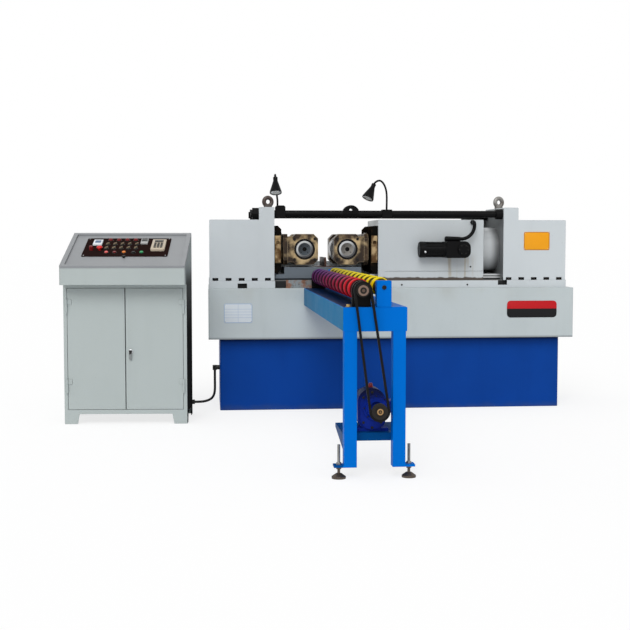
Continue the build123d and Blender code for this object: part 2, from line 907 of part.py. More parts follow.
def way_strips(grow, x, z):
    strips = []
    for sign in (-1, 1):
        centre = cross_mid + sign * way_spread / 2
        strips.append(span_box(x, (centre - way_width / 2 - grow, centre + way_width / 2 + grow), z))
    return strips


def make_ways():
    x = (carriage_left - way_overhang, right_inner)
    return group(*way_strips(0, x, (deck_top, deck_top + way_height)))


def make_carriage():
    x = (carriage_left, carriage_right)
    body = span_box(x, (housing_front, housing_rear), (deck_top + seat_gap, carriage_top))
    body = rounded(body, Axis.Y, carriage_edge_radius)
    for strip in way_strips(seat_gap, (x[0] - overrun, x[1] + overrun),
                            (deck_top - overrun, deck_top + way_height + seat_gap)):
        body -= strip
    seam = deck_top + carriage_skirt_height
    seam_start = x[0] + swivel_plate_thickness
    groove = (housing_front - overrun, housing_front + carriage_skirt_groove)
    body -= span_box((seam_start, x[1] + overrun), groove, (seam, seam + carriage_skirt_groove))
    return body


def make_ram():
    bar = rod_x(ram_radius, (carriage_right, right_inner + ram_insert), cross_mid, axis_height)
    collar_x = (carriage_right, carriage_right + ram_collar_length)
    collar = rod_x(ram_collar_radius, collar_x, cross_mid, axis_height)
    return bar + collar


# Feed gearmotor

feed_left = carriage_left + gearbox_left
feed_y = housing_front - gearbox_depth / 2


def make_gearbox():
    x = (feed_left, feed_left + gearbox_length)
    z = (feed_axis_height - gearbox_height / 2, feed_axis_height + gearbox_height / 2)
    block = span_box(x, (housing_front - gearbox_depth, housing_front), z)
    block = fillet(block.edges().filter_by(Axis.Y).sort_by(Axis.X)[:2], gearbox_radius)
    block = fillet(block.edges().filter_by(Axis.Y).sort_by(Axis.X)[-2:], gearbox_end_radius)
    centre = x[0] + gearbox_length * gearbox_cover_share
    face = housing_front - gearbox_depth
    cover = rod_y(gearbox_cover_radius, centre, (face - gearbox_cover_length, face), feed_axis_height)
    cover = chamfer(cover.faces().sort_by(Axis.Y)[0].edges(), gearbox_cover_length / 3)
    return block + cover


def make_feed_motor():
    """Motor with fins along its length, a plain end cap and a flange at the gearbox."""
    x = (feed_left - feed_motor_length, feed_left)
    cap = rod_x(feed_motor_radius, (x[0], x[0] + feed_motor_cap_length), feed_y, feed_axis_height)
    body = chamfer(cap.faces().sort_by(Axis.X)[0].edges(), feed_motor_edge)
    body += rod_x(feed_motor_radius, (x[1] - feed_motor_flange, x[1]), feed_y, feed_axis_height)
    body += rod_x(feed_motor_radius - feed_motor_rib_depth, x, feed_y, feed_axis_height)
    half = feed_motor_rib_width / 2
    fin = span_box((x[0] + feed_motor_cap_length, x[1] - feed_motor_flange), (-half, half),
                   (feed_motor_radius - 2 * feed_motor_rib_depth, feed_motor_radius - feed_motor_edge / 3))
    for index in range(feed_motor_rib_count):
        body += Pos(0, feed_y, feed_axis_height) * Rot(360 / feed_motor_rib_count * index, 0, 0) * fin
    return body


def make_feed_conduit():
    """Bent conduit from the gearbox's top to a hole in the carriage's front."""
    x = feed_left + conduit_start
    top = feed_axis_height + gearbox_height / 2
    end = x + conduit_run
    level = top + conduit_rise
    points = [
        (x, feed_y, top),
        (x, feed_y, level),
        (end, feed_y, level),
        (end, feed_y, level + conduit_climb),
        (end, housing_front, level + conduit_climb),
    ]
    radii = [conduit_foot_radius, conduit_bend_radius, conduit_entry_radius]
    return swept(FilletPolyline(*points, radius=radii), conduit_radius)


# Feed stand

def make_beam():
    x = (work_axis_x - beam_width / 2, work_axis_x + beam_width / 2)
    block = span_box(x, (stand_front, bed_front), (beam_top - beam_height, beam_top))
    return rounded(block, Axis.Y, beam_edge_radius)


def leg(side):
    """Square leg under the beam's front end with its gusset and the ear for a levelling foot."""
    centre = work_axis_x + side * leg_spread / 2
    x = (centre - leg_size / 2, centre + leg_size / 2)
    y = (stand_front, stand_front + leg_size)
    top = beam_top - beam_height
    body = span_box(x, y, (leg_bottom, top))
    rib_x = centre - leg_gusset_thickness / 2
    rib = [(rib_x, y[1], top), (rib_x, y[1] + leg_gusset, top), (rib_x, y[1], top - leg_gusset)]
    body += prism(rib, (leg_gusset_thickness, 0, 0))
    foot = work_axis_x + side * foot_spread / 2
    ear = sorted((centre, foot + side * ear_length / 2))
    body += span_box(ear, y, (leg_bottom, leg_bottom + ear_thickness))
    middle = (y[0] + y[1]) / 2
    hole = (leg_bottom - overrun, leg_bottom + ear_thickness + overrun)
    return body - rod_z(foot_rod_radius + seat_gap, foot, middle, hole)


def make_legs():
    return group(leg(-1), leg(1))


def levelling_foot(side):
    """Round foot on a threaded rod, with a nut below and above the ear."""
    x = work_axis_x + side * foot_spread / 2
    y = stand_front + leg_size / 2
    disc = rod_z(foot_radius, x, y, (0, foot_height))
    cone = Cone(foot_radius, foot_cone_radius, foot_cone_height)
    cone = Pos(x, y, foot_height + foot_cone_height / 2) * cone
    rod = rod_z(foot_rod_radius, x, y, (foot_height, foot_rod_top))
    section = RegularPolygon(foot_nut_flats / math.sqrt(3), 6)
    body = disc + cone + rod
    for low in (leg_bottom - foot_nut_height, leg_bottom + ear_thickness):
        body += Pos(x, y, low) * extrude(section, amount=foot_nut_height, dir=(0, 0, 1))
    return body


def make_feet():
    return group(levelling_foot(-1), levelling_foot(1))


def make_shelf():
    """Motor shelf behind the legs: a plate with a rear flange, carried by a tapered gusset at each leg."""
    half = leg_spread / 2 + leg_size / 2
    x = (work_axis_x - half, work_axis_x + half)
    y = (stand_front + leg_size, stand_front + leg_size + shelf_depth)
    plate = span_box(x, y, (shelf_top - shelf_thickness, shelf_top))
    low = shelf_top - shelf_flange_height
    plate += span_box(x, (y[0], y[0] + shelf_thickness), (low, shelf_top))
    for side in (-1, 1):
        edge = work_axis_x + side * (half - shelf_gusset_thickness / 2)
        rib_x = edge - shelf_gusset_thickness / 2
        rib = [
            (rib_x, y[0], shelf_top - shelf_thickness),
            (rib_x, y[1], shelf_top - shelf_thickness),
            (rib_x, y[1], low + shelf_flange_height / 2),
            (rib_x, y[0], low - shelf_flange_height),
        ]
        plate += prism(rib, (shelf_gusset_thickness, 0, 0))
    return plate


# Rollers, brackets and belt drive

roller_near = stand_front + roller_near_inset
roller_far = bed_front - roller_far_inset
belt_plane = stand_front - pulley_overhang - pulley_width / 2


def ring_places(width):
    """(low, high) pairs along Y of the roller rings, spread evenly."""
    pitch = (roller_far - roller_near) / ring_count
    starts = [roller_near + index * pitch + (pitch - width) / 2 for index in range(ring_count)]
    return [(start, start + width) for start in starts]


def make_rings(axis, radius, width):
    """Crowned rings of one roller."""
    rings = []
    bore = roller_tube_radius + shaft_fit
    for low, high in ring_places(width):
        shoulder = width * ring_crown_share
        profile = [
            (bore, low),
            (radius - ring_crown, low),
            (radius, low + shoulder),
            (radius, high - shoulder),
            (radius - ring_crown, high),
            (bore, high),
        ]
        rings.append(turned_y(profile, *axis))
    return group(*rings)


def bracket_y(near):
    """(low, high) pair along Y of a roller bracket."""
    if near:
        return (roller_near - bracket_roller_gap - bracket_thickness, roller_near - bracket_roller_gap)
    return (roller_far + bracket_roller_gap, roller_far + bracket_roller_gap + bracket_thickness)


def make_red_core():
    """Tube of the driven roller with its journals and the belt pulley in front."""
    near_end = belt_plane - pulley_width / 2
    far_end = bracket_y(False)[1] + seat_gap
    hub_front = near_end - pulley_hub_length
    profile = [
        (0, hub_front),
        (pulley_hub_radius, hub_front),
        (pulley_hub_radius, near_end),
        (pulley_radius, near_end),
        (pulley_radius, near_end + pulley_width),
        (roller_journal_radius, near_end + pulley_width),
        (roller_journal_radius, roller_near),
        (roller_tube_radius, roller_near),
        (roller_tube_radius, roller_far),
        (roller_journal_radius, roller_far),
        (roller_journal_radius, far_end),
        (0, far_end),
    ]
    return turned_y(profile, *red_axis)


def make_yellow_core():
    """Tube of the idle roller with its journals."""
    near_end = yellow_bracket_y(True)[0] + bracket_thickness
    far_end = yellow_bracket_y(False)[1] - bracket_thickness
    profile = [
        (0, near_end),
        (roller_journal_radius, near_end),
        (roller_journal_radius, roller_near),
        (roller_tube_radius, roller_near),
        (roller_tube_radius, roller_far),
        (roller_journal_radius, roller_far),
        (roller_journal_radius, far_end),
        (0, far_end),
    ]
    return turned_y(profile, *yellow_axis)


def red_bracket(near):
    """Upright plate with a round top that carries the driven roller."""
    y = bracket_y(near)
    x, z = red_axis
    half = red_bracket_width / 2
    plate = span_box((x - half, x + half), y, (beam_top, z))
    plate += rod_y(half, x, y, z)
    foot_y = (y[0], y[1] + bracket_foot_height) if near else (y[0] - bracket_foot_height, y[1])
    plate += span_box((x - half, x + half), foot_y, (beam_top, beam_top + bracket_foot_height))
    return plate - rod_y(roller_journal_radius + shaft_fit, x, (y[0] - overrun, y[1] + overrun), z)


def yellow_bracket_y(near):
    """(low, high) pair along Y of the idle roller's block."""
    y = bracket_y(near)
    if near:
        return (y[1] - yellow_bracket_depth, y[1])
    return (y[0], y[0] + yellow_bracket_depth)


def yellow_bracket(near):
    """Square block with rounded corners that carries the idle roller."""
    y = yellow_bracket_y(near)
    x, z = yellow_axis
    half = yellow_bracket_width / 2
    block = span_box((x - half, x + half), y, (beam_top, z + yellow_bracket_rise))
    block = rounded(block, Axis.Y, beam_edge_radius)
    low = y[0] + bracket_thickness if near else y[0] - overrun
    high = y[1] + overrun if near else y[1] - bracket_thickness
    return block - rod_y(roller_journal_radius + shaft_fit, x, (low, high), z)


def make_red_brackets():
    return group(red_bracket(True), red_bracket(False))


def make_yellow_brackets():
    return group(yellow_bracket(True), yellow_bracket(False))


def belt_outline(grow):
    """Face in the belt's plane round both pulleys, with the given growth over their radii."""
    low = belt_plane - belt_width / 2
    upper = Vector(red_axis[0], low, red_axis[1])
    lower = Vector(motor_axis[0], low, motor_axis[1])
    upper_radius = pulley_radius + grow
    lower_radius = motor_pulley_radius + grow
    line = lower - upper
    tilt = math.asin((lower_radius - upper_radius) / line.length)
    heading = math.atan2(line.Z, line.X)
    corners = []
    for sign in (-1, 1):
        angle = heading + sign * (math.pi / 2 + tilt)
        away = Vector(math.cos(angle), 0, math.sin(angle))
        corners.append((upper + away * upper_radius, lower + away * lower_radius))
    (upper_a, lower_a), (upper_b, lower_b) = corners
    back = line.normalized()
    edges = [
        Line(upper_a, lower_a),
        ThreePointArc(lower_a, lower + back * lower_radius, lower_b),
        Line(lower_b, upper_b),
        ThreePointArc(upper_b, upper - back * upper_radius, upper_a),
    ]
    return extrude(make_face(Wire(edges)), amount=belt_width, dir=(0, 1, 0))


def make_belt():
    return belt_outline(belt_thickness) - belt_outline(seat_gap)


def make_motor_pulley():
    """Motor pulley with its hub and the shaft end that runs in the reducer."""
    front = belt_plane - pulley_width / 2
    shaft_end = stand_front + reducer_setback + reducer_depth / 2
    profile = [
        (0, front - pulley_hub_length),
        (motor_hub_radius, front - pulley_hub_length),
        (motor_hub_radius, front),
        (motor_pulley_radius, front),
        (motor_pulley_radius, front + pulley_width),
        (motor_shaft_radius, front + pulley_width),
        (motor_shaft_radius, shaft_end),
        (0, shaft_end),
    ]
    return turned_y(profile, *motor_axis)


def make_reducer():
    """Gear reducer with an oval face, a foot on the shelf and a bore for its output shaft."""
    front = stand_front + reducer_setback
    back = front + reducer_depth
    x = work_axis_x
    radius = reducer_width / 2
    low = shelf_top + radius
    high = shelf_top + reducer_height - radius
    body = rod_y(radius, x, (front, back), low) + rod_y(radius, x, (front, back), high)
    body += span_box((x - radius, x + radius), (front, back), (low, high))
    inner = radius - reducer_rim
    rim = (front - reducer_rim, front)
    face = rod_y(inner, x, rim, low) + rod_y(inner, x, rim, high)
    body += face + span_box((x - inner, x + inner), rim, (low, high))
    half = reducer_foot_width / 2
    body += span_box((x - half, x + half), (front, back), (shelf_top, shelf_top + reducer_foot_height))
    plug_y = (front + back) / 2
    top = shelf_top + reducer_height
    body += rod_z(vent_plug_radius, x, plug_y, (top - reducer_rim, top + vent_plug_height))
    bore = (front - reducer_rim - overrun, front + reducer_depth / 2 + seat_gap)
    return body - rod_y(motor_shaft_radius + shaft_fit, motor_axis[0], bore, motor_axis[1])


def make_drive_motor():
    """Ribbed motor behind the reducer with its terminal box at the right."""
    low = stand_front + reducer_setback + reducer_depth
    high = low + motor_body_length
    z = shelf_top + motor_body_radius + motor_body_rise
    x = work_axis_x
    body = rod_y(motor_body_radius, x, (low, high), z)
    pitch = motor_body_length / motor_rib_count
    for index in range(motor_rib_count - 1):
        start = low + index * pitch + motor_rib_width
        groove = (start, start + pitch - motor_rib_width)
        ring = rod_y(motor_body_radius + overrun, x, groove, z)
        ring -= rod_y(motor_body_radius - motor_rib_depth, x, groove, z)
        body -= ring
    box_y = ((low + high - terminal_box_length) / 2, (low + high + terminal_box_length) / 2)
    reach = x + motor_body_radius - motor_rib_depth * 2
    body += span_box((reach, reach + terminal_box_width), box_y,
                     (z - terminal_box_height / 2, z + terminal_box_height / 2))
    return body


# Control desk, built square in its own frame and then turned into place

desk_half = desk_width / 2
door_edge = desk_half - desk_stile
hinge_line = (door_edge + hinge_inset, -hinge_radius)


def placed(*solids):
    return group(*[desk_place * solid for solid in solids])


def foot_cut(length):
    """Trapezoid between two feet, as points along the wall."""
    half = length / 2 - desk_foot_width
    flat = half - desk_foot_flare
    return [(-half, -overrun), (half, -overrun), (flat, desk_rail_bottom), (-flat, desk_rail_bottom)]


def make_desk_sides():
    walls = []
    middle = desk_depth / 2
    for side in (-1, 1):
        x = sorted((side * desk_half, side * (desk_half - desk_sheet)))
        wall = span_box(x, (desk_sheet, desk_depth - desk_sheet), (0, desk_body_top))
        cut = [(x[0] - overrun, middle + along, up) for along, up in foot_cut(desk_depth)]
        wall -= prism(cut, (desk_sheet + 2 * overrun, 0, 0))
        if side > 0:
            hole = (x[0] - overrun, x[1] + overrun)
            wall -= rod_x(cable_radius + seat_gap, hole, desk_gland_depth, desk_gland_height)
        walls.append(wall)
    return placed(*walls)


def make_desk_back():
    y = (desk_depth - desk_sheet, desk_depth)
    wall = span_box((-desk_half, desk_half), y, (0, slope_height(y[0])))
    cut = [(along, desk_depth - desk_sheet - overrun, up) for along, up in foot_cut(desk_width)]
    return placed(wall - prism(cut, (0, desk_sheet + 2 * overrun, 0)))


def make_desk_floor():
    inner = desk_half - desk_sheet
    y = (desk_sheet, desk_depth - desk_sheet)
    return placed(span_box((-inner, inner), y, (desk_floor_height, desk_floor_height + desk_sheet)))


def make_desk_front():
    """Front frame round the two doors, with its feet."""
    frame = span_box((-desk_half, desk_half), (0, desk_sheet), (0, desk_body_top))
    opening = span_box((-door_edge, door_edge), (-overrun, desk_sheet + overrun),
                       (desk_rail_top, desk_body_top - desk_top_rail))
    cut = [(along, -overrun, up) for along, up in foot_cut(desk_width)]
    return placed(frame - opening - prism(cut, (0, desk_sheet + 2 * overrun, 0)))


def hinge_heights():
    """Lower ends of the two fixed barrels beside a door."""
    lower = desk_rail_top + hinge_end_offset
    upper = desk_body_top - desk_top_rail - hinge_end_offset - hinge_height
    return (lower, upper)


def make_door_hinges():
    """Fixed barrels on the front frame, bored for the doors' pins."""
    barrels = []
    for side in (-1, 1):
        x = side * hinge_line[0]
        for low in hinge_heights():
            top = low + hinge_height
            barrel = rod_z(hinge_radius, x, hinge_line[1], (low, top))
            bore = rod_z(hinge_pin_radius + shaft_fit, x, hinge_line[1], (low + overrun, top + overrun))
            barrels.append(barrel - bore)
    return placed(*barrels)


def door_knuckle(side, low):
    """Moving half of a hinge: a knuckle over the fixed barrel, its pin and the leaf on the door's front."""
    x, y = side * hinge_line[0], hinge_line[1]
    base = low + hinge_height + seat_gap
    top = base + knuckle_height
    knuckle = rod_z(knuckle_radius, x, y, (base, top))
    knuckle += rod_z(hinge_pin_radius, x, y, (low + 2 * overrun, base + overrun))
    door_side = side * (door_edge - door_gap)
    leaf_y = (-hinge_leaf_thickness - door_front_gap, door_front_gap)
    knuckle += span_box(sorted((door_side, door_side - side * hinge_leaf_width)), leaf_y, (base, top))
    bridge_y = (leaf_y[0], -door_front_gap)
    return knuckle + span_box(sorted((door_side - side * overrun, x)), bridge_y, (base, top))


def make_door(side):
    """Folded sheet door, open at its back, with its hinge knuckles."""
    x = sorted((side * door_seam / 2, side * (door_edge - door_gap)))
    y = (door_front_gap, door_front_gap + door_depth)
    z = (desk_rail_top + door_gap, desk_body_top - desk_top_rail - door_gap)
    tray = rounded(span_box(x, y, z), Axis.Y, door_edge_radius)
    inside = span_box((x[0] + door_sheet, x[1] - door_sheet), (y[0] + door_sheet, y[1] + overrun),
                      (z[0] + door_sheet, z[1] - door_sheet))
    door = tray - inside
    for low in hinge_heights():
        door += door_knuckle(side, low)
    return placed(door)


def make_door_lock():
    """Round lock with an upright handle on the right door."""
    y = (door_front_gap - lock_length, door_front_gap)
    body = rod_y(lock_radius, lock_offset, y, lock_height)
    half = lock_handle_width / 2
    body += span_box((lock_offset - half, lock_offset + half), (y[0] - lock_length, y[0]),
                     (lock_height - lock_handle_height, lock_height + lock_radius))
    return placed(body)


def slope_height(y):
    """Height of the console's slope at a depth in the desk's frame."""
    return console_lip_top + (y + console_overhang) * math.tan(math.radians(lid_slope))


def make_console_cheeks():
    cheeks = []
    rear = desk_depth - desk_sheet
    for side in (-1, 1):
        x = min(side * desk_half, side * (desk_half - desk_sheet))
        outline = [
            (x, -console_overhang, desk_body_top),
            (x, -console_overhang, slope_height(-console_overhang)),
            (x, rear, slope_height(rear)),
            (x, rear, desk_body_top),
        ]
        cheeks.append(prism(outline, (desk_sheet, 0, 0)))
    return placed(*cheeks)


def make_console_lip():
    """Folded front edge of the console: an upright face and the soffit under it."""
    inner = desk_half - desk_sheet
    front = -console_overhang
    face = span_box((-inner, inner), (front, front + desk_sheet), (desk_body_top, console_lip_top))
    soffit = span_box((-inner, inner), (front, desk_sheet), (desk_body_top, desk_body_top + desk_sheet))
    return placed(face + soffit)


def on_lid(*solids):
    return group(*[lid_place * solid for solid in solids])


def make_console_lid():
    """Sloped lid with a raised rim round its recessed face."""
    low = seat_gap
    high = seat_gap + lid_thickness
    plate = span_box((-desk_half, desk_half), (0, lid_length), (low, high))
    plate = rounded(plate, Axis.Z, door_edge_radius)
    inside = span_box((-desk_half + lid_rim, desk_half - lid_rim), (lid_rim, lid_length - lid_rim),
                      (high - lid_recess, high + overrun))
    return on_lid(plate - inside)


lid_face = seat_gap + lid_thickness - lid_recess
panel_face = lid_face + panel_thickness
panel_mid = panel_front_offset + panel_length / 2


def make_control_panel():
    x = (panel_shift - panel_width / 2, panel_shift + panel_width / 2)
    y = (panel_front_offset, panel_front_offset + panel_length)
    plate = span_box(x, y, (lid_face, panel_face))
    return on_lid(rounded(plate, Axis.Z, lock_radius))


def panel_point(shares):
    """Place on the control panel from shares of its width and length."""
    return (panel_shift + shares[0] * panel_width, panel_mid + shares[1] * panel_length)


def round_control(shares, radius, height):
    x, y = panel_point(shares)
    body = rod_z(radius, x, y, (panel_face, panel_face + height))
    return chamfer(body.faces().sort_by(Axis.Z)[-1].edges(), radius / 5)


def square_control(shares, width, length, height):
    x, y = panel_point(shares)
    body = span_box((x - width / 2, x + width / 2), (y - length / 2, y + length / 2),
                    (panel_face, panel_face + height))
    return rounded(body, Axis.Z, width / 10)


def make_indicators():
    return on_lid(*[round_control(place, lamp_button_radius, button_height) for place in indicator_shares])


def make_selectors():
    return on_lid(*[round_control(place, knob_radius, knob_height) for place in selector_shares])


def make_push_buttons():
    return on_lid(*[round_control(place, push_button_radius, button_height) for place in push_shares])


def make_stop_buttons():
    stop = round_control(stop_share, stop_button_radius, stop_button_height)
    twist = round_control(twist_share, knob_radius, stop_button_height)
    latch_z = (lid_face, lid_face + latch_height)
    latch = rod_z(latch_radius, panel_shift, panel_front_offset - latch_gap, latch_z)
    return on_lid(stop, twist, latch)


def make_meters():
    meter = square_control(meter_share, meter_width, meter_height, meter_depth)
    counter = square_control(counter_share, counter_width, counter_height, meter_depth)
    return on_lid(meter, counter)


def make_keypad():
    return on_lid(square_control(keypad_share, keypad_width, keypad_length, keypad_height))


# Cable and its glands

def desk_point(x, y, z):
    """Point of the desk's own frame in the part's frame."""
    cosine = math.cos(math.radians(desk_yaw))
    sine = math.sin(math.radians(desk_yaw))
    return (desk_x + x * cosine + y * sine, desk_y - x * sine + y * cosine, z)


base_side = -(bed_length / 2 - base_inset)
cable_start = desk_point(desk_half + gland_length, desk_gland_depth, desk_gland_height)
cable_end = (base_side - elbow_reach, base_gland_y, base_gland_height)
cable_turn = desk_point(desk_half + gland_length + cable_lead, desk_gland_depth, desk_gland_height)
cable_route = [cable_start, cable_turn, *cable_points, cable_end]


def cable_radii(points):
    """Largest radius that each corner of the route allows."""
    radii = []
    for before, corner, after in zip(points, points[1:], points[2:]):
        first = Vector(*corner) - Vector(*before)
        second = Vector(*after) - Vector(*corner)
        turn = math.radians(first.get_angle(second))
        shorter = min(first.length, second.length)
        radii.append(cable_run_share * shorter / math.tan(turn / 2))
    return radii


def make_cable():
    return swept(FilletPolyline(*cable_route, radius=cable_radii(cable_route)), cable_radius)


def make_glands():
    desk_x_span = (desk_half, desk_half + gland_length)
    desk = desk_place * rod_x(gland_radius, desk_x_span, desk_gland_depth, desk_gland_height)
    elbow_top = base_gland_height + elbow_height
    elbow = rod_z(gland_radius, cable_end[0], base_gland_y, (base_gland_height, elbow_top))
    elbow += rod_x(gland_radius, (cable_end[0], base_side), base_gland_y, elbow_top - gland_radius)
    return group(desk, elbow)


nodes = {
    "base_pedestal": make_base(),
    "bed_casing": make_bed(),
    "deck": make_deck(),
    "chip_guard": make_chip_guard(),
    "left_housing": make_left_housing(),
    "right_housing": make_right_housing(),
    "rear_cover": make_rear_cover(),
    "tie_bars": make_tie_bars(),
    "tie_bar_nuts": make_tie_bar_nuts(),
    "bar_clip": make_bar_clip(),
    "lamp_clamps": make_lamp_clamps(),
    "lamp_necks": make_lamp_necks(),
    "lamp_heads": make_lamp_heads(),
    "lamp_lenses": make_lamp_lenses(),
    "lifting_eyes": make_lifting_eyes(),
    "saddle": make_saddle(),
    "work_rest": make_work_rest(),
    "ways": make_ways(),
    "carriage": make_carriage(),
    "ram": make_ram(),
    "feed_gearbox": make_gearbox(),
    "feed_motor": make_feed_motor(),
    "feed_conduit": make_feed_conduit(),
    "stand_beam": make_beam(),
    "stand_legs": make_legs(),
    "stand_feet": make_feet(),
    "motor_shelf": make_shelf(),
    "red_roller": make_red_core(),
    "red_roller_rings": make_rings(red_axis, red_ring_radius, red_ring_width),
    "yellow_roller": make_yellow_core(),
    "yellow_roller_rings": make_rings(yellow_axis, yellow_ring_radius, yellow_ring_width),
    "red_roller_brackets": make_red_brackets(),
    "yellow_roller_brackets": make_yellow_brackets(),
    "belt": make_belt(),
    "motor_pulley": make_motor_pulley(),
    "reducer": make_reducer(),
    "drive_motor": make_drive_motor(),
    "desk_sides": make_desk_sides(),
    "desk_back": make_desk_back(),
    "desk_floor": make_desk_floor(),
    "desk_front": make_desk_front(),
    "door_hinges": make_door_hinges(),
    "left_door": make_door(-1),
    "right_door": make_door(1),
    "door_lock": make_door_lock(),
    "console_cheeks": make_console_cheeks(),
    "console_lip": make_console_lip(),
    "console_lid": make_console_lid(),
    "control_panel": make_control_panel(),
    "panel_controls": group(make_indicators(), make_selectors(), make_push_buttons(), make_stop_buttons(),
                            make_meters(), make_keypad()),
    "cable": make_cable(),
    "cable_glands": make_glands(),
}
for side, name in ((-1, "left"), (1, "right")):
    nodes[name + "_swivel_plate"] = make_swivel_plate(side)
    nodes[name + "_yoke"] = make_yoke(side)
    nodes[name + "_bearings"] = group(make_bearing(side, True), make_bearing(side, False))
    nodes[name + "_spindle"] = group(make_spindle(side), make_die(side))

os.makedirs("parts", exist_ok=True)
for name, solid in nodes.items():
    export_step(solid, os.path.join("parts", name + ".step"))
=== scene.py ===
import math

import bmesh
import bpy
from mathutils import Matrix, Vector


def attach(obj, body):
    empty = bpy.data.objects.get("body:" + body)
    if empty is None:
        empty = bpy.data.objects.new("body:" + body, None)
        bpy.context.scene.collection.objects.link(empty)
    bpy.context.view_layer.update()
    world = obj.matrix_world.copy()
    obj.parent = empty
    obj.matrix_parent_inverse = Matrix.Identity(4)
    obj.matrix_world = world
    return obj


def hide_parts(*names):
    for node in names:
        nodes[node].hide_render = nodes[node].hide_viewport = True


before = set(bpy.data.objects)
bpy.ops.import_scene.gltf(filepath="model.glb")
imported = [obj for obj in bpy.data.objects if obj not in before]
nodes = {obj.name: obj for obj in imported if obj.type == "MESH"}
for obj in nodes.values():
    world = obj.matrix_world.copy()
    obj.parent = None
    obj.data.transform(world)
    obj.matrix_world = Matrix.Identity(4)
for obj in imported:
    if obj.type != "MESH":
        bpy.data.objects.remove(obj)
scene = bpy.context.scene
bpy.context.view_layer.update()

# Places of the machine, the stand and the desk, in metres
work_x = -0.417
axis_z = 1.005
head_front = -0.320
head_mid = -0.125
housing_front = -0.350
bed_front = -0.380
deck_front = -0.355
deck_top = 0.811
carriage_end = 0.574
right_wall = 0.703
spindle_reach = 0.134
swivel_reach = 0.2497
gearbox_axis = (0.4223, 1.003)
gearbox_front = -0.474
stand_front = -2.456
beam_top = 0.766
red_axis = (-0.475, 0.840)
yellow_axis = (-0.378, 0.852)
idler_front = -2.458
roller_near = -2.404
ring_pitch = 0.1635
motor_axis = (-0.399, 0.305)
pulley_front = -2.495
reducer_front = stand_front + 0.088
desk_yaw = math.radians(-3.5)
lid_slope = math.atan2(0.189, 0.510)
desk_place = Matrix.Translation((-1.627, -0.793, 0)) @ Matrix.Rotation(desk_yaw, 4, "Z")
lid_hinge = Matrix.Translation((0, -0.110, 0.903))
lid_place = desk_place @ lid_hinge @ Matrix.Rotation(lid_slope, 4, "X")
panel_centre = (-0.008, 0.314)
panel_size = (0.496, 0.296)
panel_lift = 0.0093
facing_front = Matrix.Rotation(math.pi / 2, 4, "X")

white = (1.0, 1.0, 1.0, 1.0)
sharp_angle = math.radians(32)


# Shader expressions

class Value:
    """A shader socket. An operator on it adds the Math node that it stands for."""

    def __init__(self, tree, socket):
        self.tree = tree
        self.socket = socket

    def math(self, operation, first, second):
        return self.tree.node("ShaderNodeMath", {"operation": operation}, {0: first, 1: second})

    def __add__(self, other):
        return self.math("ADD", self, other)

    __radd__ = __add__

    def __sub__(self, other):
        return self.math("SUBTRACT", self, other)

    def __rsub__(self, other):
        return self.math("SUBTRACT", other, self)

    def __mul__(self, other):
        return self.math("MULTIPLY", self, other)

    __rmul__ = __mul__

    def __pow__(self, other):
        return self.math("POWER", self, other)

    def __lt__(self, other):
        return self.math("LESS_THAN", self, other)

    def __or__(self, other):
        return self.math("MAXIMUM", self, other)

    def __abs__(self):
        return self.math("ABSOLUTE", self, 0.0)


def opaque(colour):
    """Colour with an alpha of 1, where it has none yet."""
    return colour if isinstance(colour, Value) or len(colour) == 4 else (*colour, 1.0)


class Tree:
    """A node tree, with one method that makes any node in it."""

    def __init__(self, tree):
        self.tree = tree

    def node(self, kind, settings, inputs, output=0):
        made = self.tree.nodes.new(kind)
        for name, value in settings.items():
            setattr(made, name, value)
        for key, value in inputs.items():
            if isinstance(value, Value):
                self.tree.links.new(value.socket, made.inputs[key])
            else:
                made.inputs[key].default_value = value
        return Value(self, made.outputs[output])

    def mix(self, share, first, second):
        """Colour that goes from the first at a share of 0 to the second at 1."""
        inputs = {0: share, 6: opaque(first), 7: opaque(second)}
        return self.node("ShaderNodeMix", {"data_type": "RGBA"}, inputs, 2)

    def step(self, value, low, high):
        """Smooth share that goes from 0 at low to 1 at high."""
        settings = {"interpolation_type": "SMOOTHSTEP"}
        return self.node("ShaderNodeMapRange", settings, {0: value, 1: low, 2: high})


